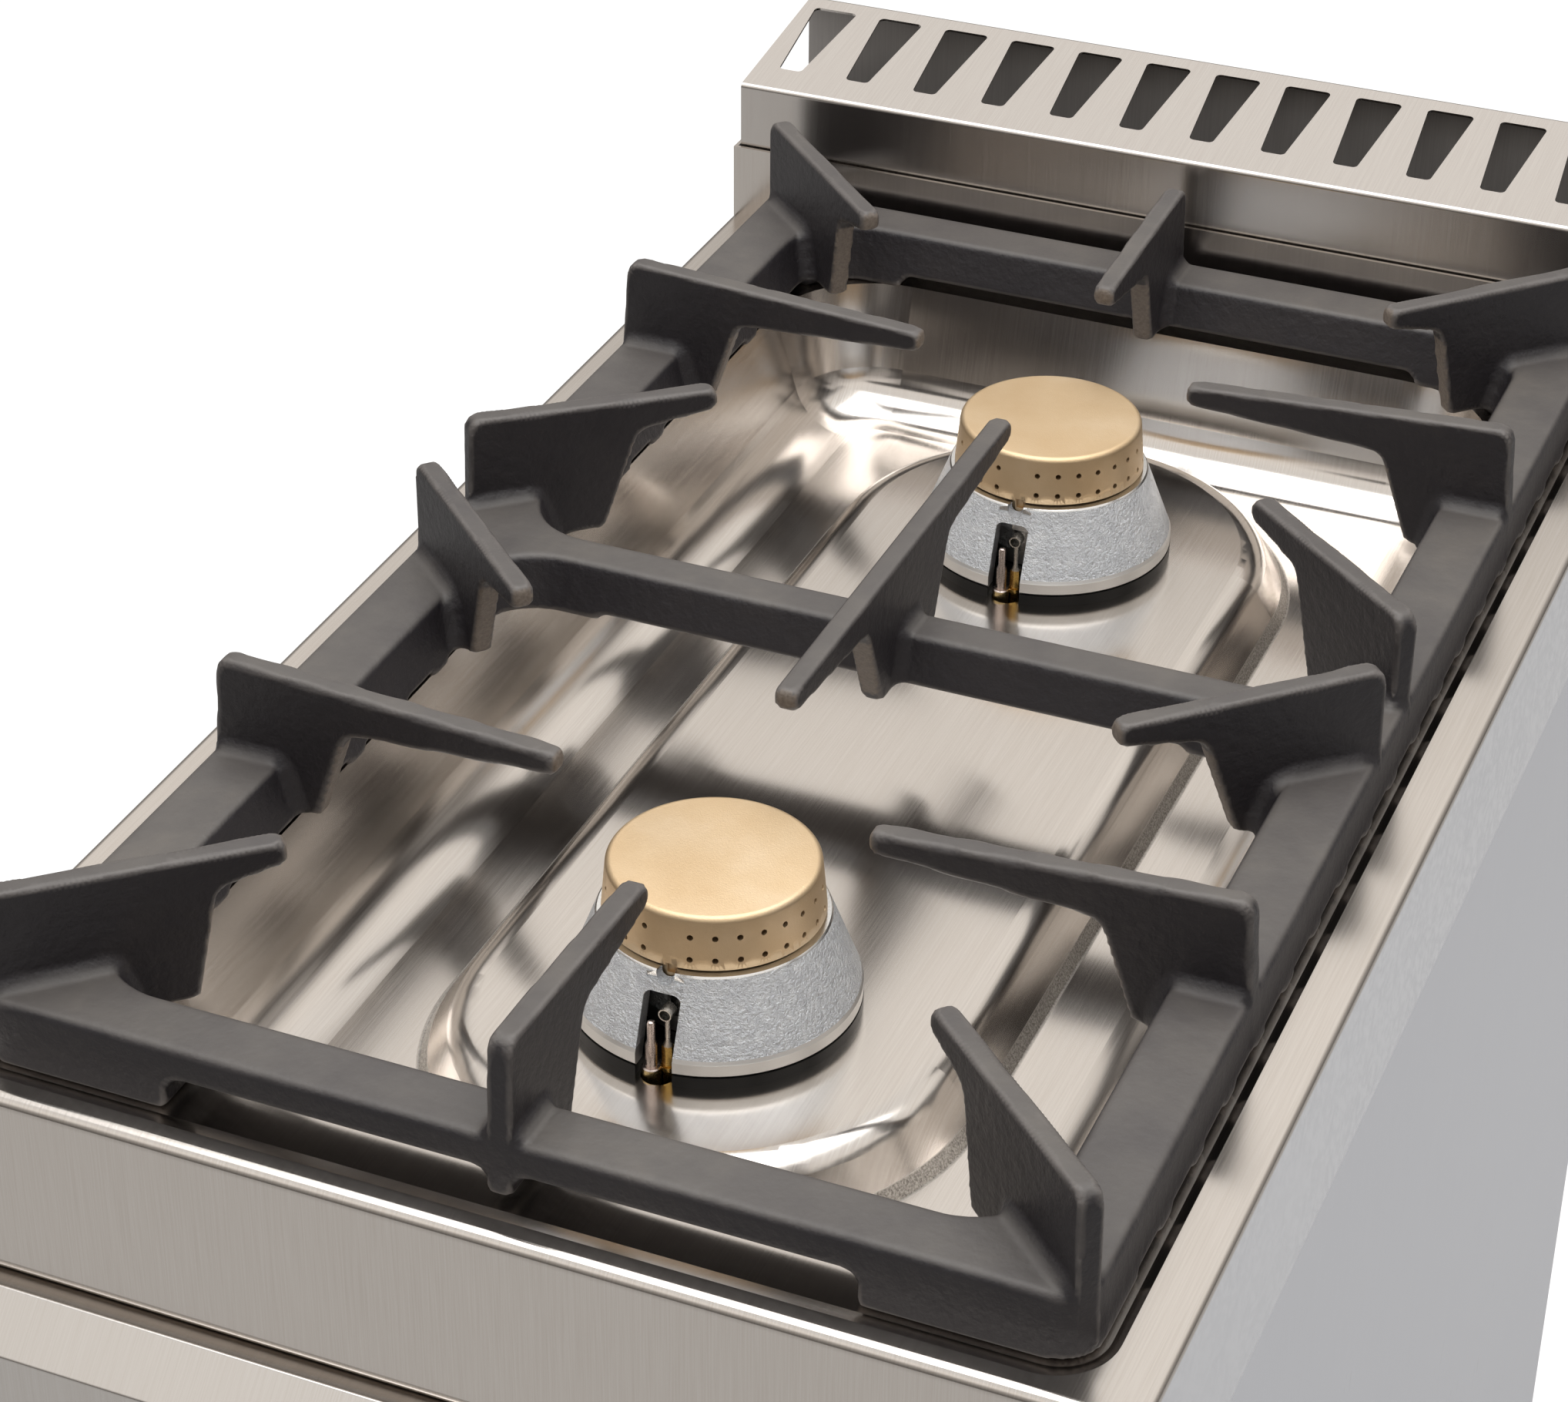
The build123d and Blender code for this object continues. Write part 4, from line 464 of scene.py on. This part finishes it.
# %% Blasted brass
def blasted_brass():
    material, tree, shader = new_material("brass_forged_bead_blasted")
    beads = grain(tree, 1900, detail=3.0, rough=0.6)
    tarnish = grain(tree, 38, detail=4.0, rough=0.6)
    shade = ramp(tree, tarnish, [(0.30, "#cfb591"), (0.55, "#d4bc9a"), (0.75, "#d9c3a4")])
    shader.inputs["Metallic"].default_value = 1.0
    tree.links.new(shade, shader.inputs["Base Color"])
    tree.links.new(span(tree, beads, 0.44, 0.56), shader.inputs["Roughness"])
    tree.links.new(bump(tree, beads, 0.09 * MM, 0.8), shader.inputs["Normal"])
    return material


# %% Shot-blasted aluminium with a turned rim and band
def blasted_aluminium():
    material, tree, shader = new_material("aluminium_cast_shot_blasted")
    facets = grain(tree, 800, detail=4.0, rough=0.7)
    broad = grain(tree, 300, detail=2.0)
    where = add(tree, "TexCoord").outputs["Object"]
    height = add(tree, "SeparateXYZ", {0: where}).outputs["Z"]
    rim = between(tree, height, DECK + 0.35 * MM, DECK + 0.45 * MM)
    band = between(tree, height, DECK - 24.35 * MM, DECK - 24.25 * MM, 1.0, 0.0)
    facing = add(tree, "SeparateXYZ", {0: add(tree, "NewGeometry").outputs["True Normal"]}).outputs["Y"]
    milled = between(tree, facing, -0.99, -0.985, 1.0, 0.0)
    smooth = add(tree, "Math", {0: rim, 1: milled}, operation="MAXIMUM").outputs[0]
    turned = add(tree, "Math", {0: smooth, 1: band}, operation="MAXIMUM").outputs[0]
    shader.inputs["Metallic"].default_value = 1.0
    cast = ramp(tree, broad, [(0.3, "#c3c6cb"), (0.6, "#d0d3d7"), (0.8, "#dcdee1")])
    shade = add(tree, "Mix", {0: turned, 6: cast, 7: light("#e6e5e3")}, data_type="RGBA").outputs[2]
    tree.links.new(shade, shader.inputs["Base Color"])
    blasted = span(tree, facets, 0.20, 0.40)
    cut = between(tree, band, 0.0, 1.0, 0.20, 0.38)
    rough = add(tree, "Mix", {0: turned, 2: blasted, 3: cut}, data_type="FLOAT").outputs[0]
    tree.links.new(rough, shader.inputs["Roughness"])
    strength = between(tree, turned, 0.0, 1.0, 1.0, 0.06)
    tree.links.new(bump(tree, facets, 1.3 * MM, strength), shader.inputs["Normal"])
    return material


# %% Black vitreous enamel
def black_enamel():
    material, tree, shader = new_material("enamel_black_vitreous")
    orange_peel = grain(tree, 350, detail=2.0)
    shade = ramp(tree, grain(tree, 60, detail=3.0), [(0.3, "#070708"), (0.7, "#0d0c0c")])
    tree.links.new(shade, shader.inputs["Base Color"])
    tree.links.new(span(tree, orange_peel, 0.24, 0.38), shader.inputs["Roughness"])
    shader.inputs["Specular IOR Level"].default_value = 0.3
    tree.links.new(bump(tree, orange_peel, 0.02 * MM, 0.6), shader.inputs["Normal"])
    return material


brass_cap = blasted_brass()
aluminium_body = blasted_aluminium()
enamel = black_enamel()
print("burner finishes ready")

# %% [markdown]
# ## Metals of the fittings
#
# Taps, injectors and nuts are brass turned from bar. The gas pipe and the small hardware are
# zinc-plated steel, the gas tubes drawn aluminium and copper. They share one recipe: a bright
# metal with fine turning or drawing marks and a little cloudiness.


# %% Turned, drawn and plated metal
def fitting_metal(name, dark, pale, roughness, marks=1200):
    """Metal with a cloudy shade and turning or drawing marks; marks counts them per metre."""
    material, tree, shader = new_material(name)
    line = grain(tree, marks, detail=3.0)
    cloud = grain(tree, 40, detail=4.0)
    shader.inputs["Metallic"].default_value = 1.0
    tree.links.new(ramp(tree, cloud, [(0.3, dark), (0.7, pale)]), shader.inputs["Base Color"])
    tree.links.new(span(tree, line, roughness[0], roughness[1]), shader.inputs["Roughness"])
    tree.links.new(bump(tree, line, 0.01 * MM, 0.5), shader.inputs["Normal"])
    return material


turned_brass = fitting_metal("brass_turned", "#b98f45", "#d9b66a", (0.18, 0.32))


def two_metals(name, change, upper, lower):
    """A fitting of one metal above the height change, another below it, with a short blend between."""
    material, tree, shader = new_material(name)
    where = add(tree, "TexCoord").outputs["Object"]
    height = add(tree, "SeparateXYZ", {0: where}).outputs["Z"]
    place = between(tree, height, change - 1.0 * MM, change + 1.0 * MM)
    marks = grain(tree, 1600, (1, 1, 3), detail=3.0)
    shader.inputs["Metallic"].default_value = 1.0
    shade = ramp(tree, place, [(0.0, lower), (0.42, lower), (0.52, upper), (1.0, upper)])
    tree.links.new(shade, shader.inputs["Base Color"])
    tree.links.new(span(tree, marks, 0.20, 0.36), shader.inputs["Roughness"])
    tree.links.new(bump(tree, marks, 0.01 * MM, 0.5), shader.inputs["Normal"])
    return material


probe_metal = two_metals("steel_probe_brass_nut", DECK - 31.9 * MM, "#cdbfb8", "#cdb583")
pilot_metal = two_metals("steel_hood_brass_nut", DECK - 23.4 * MM, "#c9c2b8", "#c3a05c")
bright_steel = fitting_metal("steel_turned_bright", "#a9a9ab", "#c9c9ca", (0.18, 0.34))
zinc_plate = fitting_metal("steel_zinc_plated", "#8f9397", "#b4b8bb", (0.30, 0.48), marks=400)
aluminised = fitting_metal("steel_aluminised_sheet", "#909294", "#aeb0b2", (0.34, 0.50), marks=300)
drawn_aluminium = fitting_metal("aluminium_tube_drawn", "#b4b6b9", "#cfd1d3", (0.22, 0.36))
drawn_copper = fitting_metal("copper_tube_drawn", "#a8643f", "#cf8a60", (0.22, 0.38))
satin_chrome = fitting_metal("chrome_satin_plate", "#b9babc", "#cdcecf", (0.16, 0.24), marks=1800)

# %% [markdown]
# ## Control knobs
#
# The knobs are moulded in black thermoset plastic with a finely etched surface, which gives a
# broad, dull highlight.


# %% Moulded black plastic
def moulded_plastic():
    material, tree, shader = new_material("thermoset_plastic_black")
    etch = grain(tree, 1800, detail=3.0)
    shade = ramp(tree, grain(tree, 30, detail=2.0), [(0.3, "#141414"), (0.7, "#1b1b1c")])
    tree.links.new(shade, shader.inputs["Base Color"])
    tree.links.new(span(tree, etch, 0.36, 0.50), shader.inputs["Roughness"])
    tree.links.new(bump(tree, etch, 0.02 * MM, 0.6), shader.inputs["Normal"])
    return material


plastic = moulded_plastic()

# %% [markdown]
# ## The burners' finer forms
#
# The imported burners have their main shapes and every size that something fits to. The finer
# forms that the photograph shows are made here. Two helpers do most of it: one turns a profile,
# like a lathe, by pushing a ring out step by step, and one joins or cuts two pieces. Each piece
# is finished before the next is begun, and lies where the CAD piece lies.


# %% Lathe, cut and join
SEAM = 0.002 * MM            # points closer than this on a turned piece become one


def lathe(name, profile, sides=96, closed=False):
    """A turned piece from (radius, height) steps in mm; closed joins the last step to the first."""
    bpy.ops.object.select_all(action="DESELECT")
    first_radius, first_height = profile[0]
    bpy.ops.mesh.primitive_circle_add(vertices=sides, radius=first_radius * MM,
                                      fill_type="NOTHING" if closed else "NGON",
                                      location=(0, 0, first_height * MM))
    bpy.ops.object.transform_apply(location=True)
    piece = bpy.context.object
    piece.name = name
    bpy.ops.object.mode_set(mode="EDIT")
    bpy.ops.mesh.select_all(action="SELECT")
    steps = profile[1:] + ([profile[0]] if closed else [])
    radius, height = profile[0]
    for next_radius, next_height in steps:
        rise = {"value": (0, 0, (next_height - height) * MM)}
        bpy.ops.mesh.extrude_region_move(TRANSFORM_OT_translate=rise)
        share = next_radius / radius
        bpy.ops.transform.resize(value=(share, share, 1), center_override=(0, 0, next_height * MM))
        radius, height = next_radius, next_height
    bpy.ops.mesh.select_all(action="SELECT")
    bpy.ops.mesh.remove_doubles(threshold=SEAM)
    bpy.ops.mesh.normals_make_consistent(inside=False)
    bpy.ops.object.mode_set(mode="OBJECT")
    return piece


def turn_piece(piece, angle, axis):
    """Turns a piece about the origin and applies the turn."""
    piece.rotation_euler = tuple(radians(angle) if name == axis else 0.0 for name in "XYZ")
    bpy.ops.object.select_all(action="DESELECT")
    piece.select_set(True)
    bpy.context.view_layer.objects.active = piece
    bpy.ops.object.transform_apply(rotation=True)


def move_piece(piece, x, y, z):
    """Moves a piece by x, y, z in mm and applies the move."""
    piece.location = (x * MM, y * MM, z * MM)
    bpy.ops.object.select_all(action="DESELECT")
    piece.select_set(True)
    bpy.context.view_layer.objects.active = piece
    bpy.ops.object.transform_apply(location=True)


def box(name, low, high, rounding=0.0):
    """A block between two corners in mm, its edges along y rounded."""
    bpy.ops.object.select_all(action="DESELECT")
    centre = [(a + b) / 2 * MM for a, b in zip(low, high)]
    bpy.ops.mesh.primitive_cube_add(size=1.0, location=centre)
    piece = bpy.context.object
    piece.name = name
    piece.scale = [(b - a) * MM for a, b in zip(low, high)]
    bpy.ops.object.transform_apply(location=True, scale=True)
    if rounding:
        bpy.ops.object.mode_set(mode="EDIT")
        bpy.ops.mesh.select_all(action="DESELECT")
        bpy.ops.object.mode_set(mode="OBJECT")
        for edge in piece.data.edges:
            a, b = (piece.data.vertices[i].co for i in edge.vertices)
            edge.select = abs(a.x - b.x) < 1e-6 and abs(a.z - b.z) < 1e-6
        bpy.ops.object.mode_set(mode="EDIT")
        bpy.ops.mesh.bevel(offset=rounding * MM, segments=6, affect="EDGES")
        bpy.ops.object.mode_set(mode="OBJECT")
    return piece


def combine(piece, other, operation):
    """Cuts the other piece off this one, or adds it, and removes the other."""
    bpy.ops.object.select_all(action="DESELECT")
    piece.select_set(True)
    bpy.context.view_layer.objects.active = piece
    apply_modifier("BOOLEAN", object=other, operation=operation, solver="EXACT")
    bpy.data.objects.remove(other, do_unlink=True)


def finish_piece(piece, place, material, node, body, angle=32):
    """Sets a piece at its place, gives it its finish and lets it stand for the CAD piece."""
    move_piece(piece, *place)
    bpy.ops.object.shade_smooth_by_angle(angle=radians(angle))
    piece.data.materials.clear()
    piece.data.materials.append(material)
    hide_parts(node)
    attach(piece, body)


# %% [markdown]
# The burner body has a turned seat and rim, a shot-blasted cone and a turned band round its
# foot. At the front a flat pad is milled over the slot for the pilot, and a rounded notch is cut
# through the rim above it.

# %% Burner bodies
FRONT_Y = FRONT_BURNER / MM
BURNERS = {"front": FRONT_Y, "rear": FRONT_Y + BURNER_PITCH}
DECK_Z = DECK / MM
OUTSIDE = -60.0              # cutters start well outside the body
SLOT_HALF = 6.3              # half the width of the pilot's slot and of the pad over it
SLOT_LOW, SLOT_TOP = -45.0, -5.5
SLOT_BACK = -28.0
SLOT_CORNER = 2.8
PAD_STEPS = [(-8.2, -40.2), (-2.0, -37.7)]       # lower end and face of the pad's two steps
PAD_TOP = 6.0
NOTCH_HALF = 3.1
NOTCH_LOW, NOTCH_TOP = -3.1, 12.0
NOTCH_BACK = -34.0
NOTCH_CORNER = 2.9
# seat, rim, cone, turned band, foot, then back up the inside (radius, height from the deck)
BODY = [(35.0, 1.0), (37.3, 1.0), (37.9, 0.4), (47.7, -25.3), (47.9, -25.6), (47.9, -29.6),
        (47.1, -30.5), (42.6, -30.5), (36.0, -9.0), (26.6, -16.0), (26.6, -30.2), (22.1, -30.2),
        (22.1, -4.0), (35.0, -4.0)]


def burner_body_piece(label, y):
    """One burner body, cut while it still stands at the origin."""
    piece = lathe(label + "_burner_body_cast", BODY, 144, closed=True)
    slot = box("slot", (-SLOT_HALF, OUTSIDE, SLOT_LOW), (SLOT_HALF, SLOT_BACK, SLOT_TOP), SLOT_CORNER)
    combine(piece, slot, "DIFFERENCE")
    for low, face in PAD_STEPS:
        pad = box("pad", (-SLOT_HALF, OUTSIDE, low), (SLOT_HALF, face, PAD_TOP))
        combine(piece, pad, "DIFFERENCE")
    notch = box("notch", (-NOTCH_HALF, OUTSIDE, NOTCH_LOW), (NOTCH_HALF, NOTCH_BACK, NOTCH_TOP),
                NOTCH_CORNER)
    combine(piece, notch, "DIFFERENCE")
    finish_piece(piece, (0, y, DECK_Z), aluminium_body, label + "_burner_body", label + "_burner")
    return piece


for label, y in BURNERS.items():
    piece = burner_body_piece(label, y)
    print(piece.name, len(piece.data.polygons), "faces")

# %% [markdown]
# The cap is a copy of the CAD cap, so its ports stay. Its foot is turned back under the flank,
# which leaves a thin dark gap above the rim, and a small boss stands in the rim's notch.

# %% Burner caps
STEP = [(34.6, -5.0), (39.0, -5.0), (39.0, 2.4), (34.6, 2.4)]      # the ring that is turned away
BOSS = [(1.7, -1.0), (1.7, 3.2)]
BOSS_PLACE = (0.9, -35.2, 0)
for label, y in BURNERS.items():
    bpy.ops.object.select_all(action="DESELECT")
    cap = bpy.data.objects.new(label + "_burner_cap_forged", NODES[label + "_burner_cap"].data.copy())
    bpy.context.scene.collection.objects.link(cap)
    cap.select_set(True)
    bpy.context.view_layer.objects.active = cap
    bpy.ops.object.mode_set(mode="EDIT")
    bpy.ops.mesh.select_all(action="SELECT")
    bpy.ops.mesh.remove_doubles(threshold=WELD)
    bpy.ops.object.mode_set(mode="OBJECT")
    move_piece(cap, 0, -y, -DECK_Z)
    step = lathe("step", STEP, 144, closed=True)
    combine(cap, step, "DIFFERENCE")
    boss = lathe("boss", BOSS, 24)
    move_piece(boss, *BOSS_PLACE)
    combine(cap, boss, "UNION")
    finish_piece(cap, (0, y, DECK_Z), brass_cap, label + "_burner_cap", label + "_cap",
                 angle=30)
    print(cap.name, len(cap.data.polygons), "faces")

# %% [markdown]
# The thermocouple is a steel probe with a thin round tip, held by a brass nut with a round
# collar. The pilot beside it is a thin riser with a short hood across its top, open to the
# front, above a hexagon nut.

# %% Thermocouples and pilots
PROBE_PLACE = (-2.2, -44.0)  # from the burner's axis
PILOT_PLACE = (2.6, -42.0)
HOOD_Z = -10.6
PROBE = [(0.6, -14.2), (1.1, -14.5), (1.35, -15.2), (1.35, -21.5), (2.0, -23.2), (2.0, -31.4),
         (2.7, -31.4), (3.1, -31.8), (3.1, -34.4), (1.6, -34.4), (1.6, -54.0)]
PROBE_HEXAGON = [(3.1, -38.6), (3.1, -34.2)]
PILOT_HEXAGON = [(2.0, -30.9), (2.0, -23.6)]
HOOD = [(2.2, -2.3), (2.2, 2.3), (1.8, 2.3), (1.8, -2.3)]
STEM = [(0.9, -12.4), (0.9, -21.5), (1.7, -23.5), (1.7, -31.1), (2.4, -31.1), (2.4, -32.6),
        (1.6, -32.6), (1.6, -54.0)]
for label, y in BURNERS.items():
    probe = lathe(label + "_thermocouple_probe", PROBE, 40)
    hexagon = lathe("hexagon", PROBE_HEXAGON, 6)
    combine(probe, hexagon, "UNION")
    place = (PROBE_PLACE[0], y + PROBE_PLACE[1], DECK_Z)
    finish_piece(probe, place, probe_metal, label + "_thermocouple", "cabinet")
    pilot = lathe(label + "_pilot_hooded", STEM, 40)
    nut = lathe("nut", PILOT_HEXAGON, 6)
    combine(pilot, nut, "UNION")
    hood = lathe("hood", HOOD, 40, closed=True)
    turn_piece(hood, 90, "X")
    move_piece(hood, 0, 0, HOOD_Z)
    combine(pilot, hood, "UNION")
    place = (PILOT_PLACE[0], y + PILOT_PLACE[1], DECK_Z)
    finish_piece(pilot, place, pilot_metal, label + "_pilot_burner", "cabinet")
    print(probe.name, len(probe.data.polygons), pilot.name, len(pilot.data.polygons))

# %% [markdown]
# ## Marks on the controls
#
# The controls are out of the photograph, so their marks are the plain ones that such a cooktop
# needs: a white pointer on each knob's skirt, and on the panel round each knob a dot for off,
# a large flame on the left and a small flame at the bottom.


# %% Printed marks
def paint(name, colour, dark):
    """Screen-printed enamel paint, slightly uneven."""
    material, tree, shader = new_material(name)
    shade = ramp(tree, grain(tree, 300, detail=2.0), [(0.3, dark), (0.7, colour)])
    tree.links.new(shade, shader.inputs["Base Color"])
    tree.links.new(span(tree, grain(tree, 900), 0.34, 0.46), shader.inputs["Roughness"])
    return material


white_paint = paint("paint_white_printed", "#e4e3df", "#d8d7d2")
black_paint = paint("paint_black_printed", "#161616", "#0f0f10")
KNOB_X = {"front": -95.0, "rear": 95.0}
KNOB_Z = DECK_Z - 165.0
PANEL_AHEAD = 18.2               # the panel's face stands before the worktop's nose
KNOB_GAP = 6.5                   # panel to the back of the knob
SKIRT_HEIGHT = 8.2
PANEL_Y = NOSE / MM - PANEL_AHEAD
SKIRT_Y = PANEL_Y - KNOB_GAP - SKIRT_HEIGHT
POINTER_LOW, POINTER_HIGH = 26.6, 29.6
POINTER_DEPTH = 1.6
MARK_REACH = 41.0                # knob's axis to the marks round it
PRINT_THICKNESS = 0.1
PRINT_Y = PANEL_Y + 0.02


def drop(name, radius, point):
    """A printed mark: a thin disc whose upper point is pulled up by point mm."""
    mark = lathe(name, [(radius, 0.0), (radius, PRINT_THICKNESS)], 32)
    turn_piece(mark, 90, "X")
    bpy.ops.object.mode_set(mode="EDIT")
    bpy.ops.mesh.select_all(action="DESELECT")
    bpy.ops.object.mode_set(mode="OBJECT")
    for vertex in mark.data.vertices:
        vertex.select = vertex.co.z > (radius - 0.01) * MM
    bpy.ops.object.mode_set(mode="EDIT")
    bpy.ops.transform.translate(value=(0, 0, point * MM), use_proportional_edit=True,
                                proportional_edit_falloff="SHARP", proportional_size=1.5 * radius * MM)
    bpy.ops.object.mode_set(mode="OBJECT")
    return mark


for label, x in KNOB_X.items():
    pointer = box(label + "_knob_pointer", (x - 1.0, SKIRT_Y, KNOB_Z + POINTER_LOW),
                  (x + 1.0, SKIRT_Y + POINTER_DEPTH, KNOB_Z + POINTER_HIGH))
    pointer.data.materials.append(white_paint)
    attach(pointer, label + "_control")
    off = drop(label + "_mark_off", 2.4, 0.0)
    move_piece(off, x, PRINT_Y, KNOB_Z + MARK_REACH)
    large = drop(label + "_mark_large_flame", 3.4, 4.2)
    move_piece(large, x - MARK_REACH, PRINT_Y, KNOB_Z)
    small = drop(label + "_mark_small_flame", 2.0, 2.6)
    move_piece(small, x, PRINT_Y, KNOB_Z - MARK_REACH)
    for mark in (off, large, small):
        mark.data.materials.append(black_paint)
        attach(mark, "cabinet")
print("marks printed")

# %% [markdown]
# ## Giving each piece its finish
#
# Each CAD piece keeps its own mesh and takes the finish that belongs to it. Only its material
# changes, and the list is read from the end of the piece's name.

# %% Finishes by piece
FINISHES = {
    "worktop": steel_worktop, "flue_cover": steel_flue, "control_panel": steel_panel,
    "side_panel": steel_body, "back_panel": steel_inside, "compartment_ceiling": steel_inside,
    "base_shelf": steel_inside, "pan_support": iron, "burner_cap": brass_cap,
    "burner_body": aluminium_body, "burner_cup": enamel, "mixing_tube": enamel,
    "injector": turned_brass, "gas_valve": turned_brass, "valve_plunger": turned_brass,
    "pilot_burner": pilot_metal, "thermocouple": probe_metal, "burner_bridge": aluminised,
    "knob": plastic, "knob_bezel": satin_chrome, "valve_stem": bright_steel,
    "screws": bright_steel, "gas_manifold": zinc_plate, "gas_inlet": zinc_plate,
    "leg_inserts": zinc_plate, "feed_tube": drawn_aluminium, "pilot_tube": drawn_copper,
    "thermocouple_lead": drawn_copper, "leg": bright_steel, "foot": bright_steel,
}


def finish_for(node):
    """The finish whose name fits the longest stretch at the end of the piece's name."""
    endings = [end for end in FINISHES if node.endswith(end)]
    return FINISHES[max(endings, key=len)]


for name, piece in NODES.items():
    piece.data.materials.clear()
    piece.data.materials.append(finish_for(name))
print("finished", len(NODES), "pieces")

# %% [markdown]
# ## The studio
#
# The photograph has a pure white background and soft light from all round, strongest from
# above. The floor looks white to the camera but keeps the cooktop's soft shadow. The metal
# sees a pale grey floor in its reflections, and a darker one gives back the light. The world is
# a soft wall, dark at the foot and brightest at about 35 degrees, which is what the worktop
# mirrors towards the camera. One large soft box hangs over the worktop.


# %% Floor
FLOOR_SIZE = 14.0


def studio_white():
    """White to the camera with the cooktop's shadow in it, and matt grey to the metal."""
    material = bpy.data.materials.new("studio_floor_white")
    material.use_nodes = True
    tree = material.node_tree
    tree.nodes.clear()
    path = add(tree, "LightPath")
    tones = {0: path.outputs["Is Glossy Ray"], 6: light("#8a8a8a"), 7: light("#c0c0c0")}
    pale = add(tree, "Mix", tones, data_type="RGBA").outputs[2]
    matt = add(tree, "BsdfDiffuse", {"Color": pale})
    shaded = add(tree, "BsdfDiffuse", {"Color": light("#8e8e8e")})
    glow = add(tree, "Emission", {"Color": (1, 1, 1, 1), "Strength": 0.84})
    white = add(tree, "AddShader", {0: glow.outputs[0], 1: shaded.outputs[0]})
    mixed = add(tree, "MixShader", {0: path.outputs["Is Camera Ray"], 1: matt.outputs[0],
                                    2: white.outputs[0]})
    add(tree, "OutputMaterial", {"Surface": mixed.outputs[0]})
    return material


bpy.ops.object.select_all(action="DESELECT")
bpy.ops.mesh.primitive_plane_add(size=FLOOR_SIZE, location=(0, 0, 0))
floor = bpy.context.object
floor.name = "studio_floor"
floor.data.materials.append(studio_white())

# %% World
world = bpy.data.worlds.new("studio_world")
bpy.context.scene.world = world
world.use_nodes = True
sky = world.node_tree
sky.nodes.clear()
rays = add(sky, "LightPath")
seen = add(sky, "Background", {"Color": (1, 1, 1, 1), "Strength": 1.0})
direction = add(sky, "TexCoord").outputs["Generated"]
parts = add(sky, "SeparateXYZ", {0: direction})
WALL = [(0.0, "#5f5c59"), (0.36, "#a09c98"), (0.58, "#e9e5e0"), (1.0, "#d0d0d0")]
tone = ramp(sky, parts.outputs["Z"], WALL)
soft = add(sky, "Background", {"Color": tone, "Strength": 1.35})
both = add(sky, "MixShader", {0: rays.outputs["Is Camera Ray"], 1: soft.outputs[0], 2: seen.outputs[0]})
add(sky, "OutputWorld", {"Surface": both.outputs[0]})


# %% Lamps
def soft_lamp(name, spot, aim, size, power):
    """A square soft lamp at a spot, facing an aim point."""
    data = bpy.data.lights.new(name, "AREA")
    data.shape = "RECTANGLE"
    data.size, data.size_y = size
    data.energy = power
    lamp = bpy.data.objects.new(name, data)
    lamp.location = spot
    lamp.rotation_euler = (Vector(aim) - Vector(spot)).to_track_quat("-Z", "Y").to_euler()
    bpy.context.scene.collection.objects.link(lamp)
    return lamp


soft_lamp("lamp_above", (0.0, 0.05, DECK + 1.8), (0.0, 0.0, DECK), (1.8, 1.8), 30)
bpy.context.scene.view_settings.view_transform = "Standard"
print("studio ready")
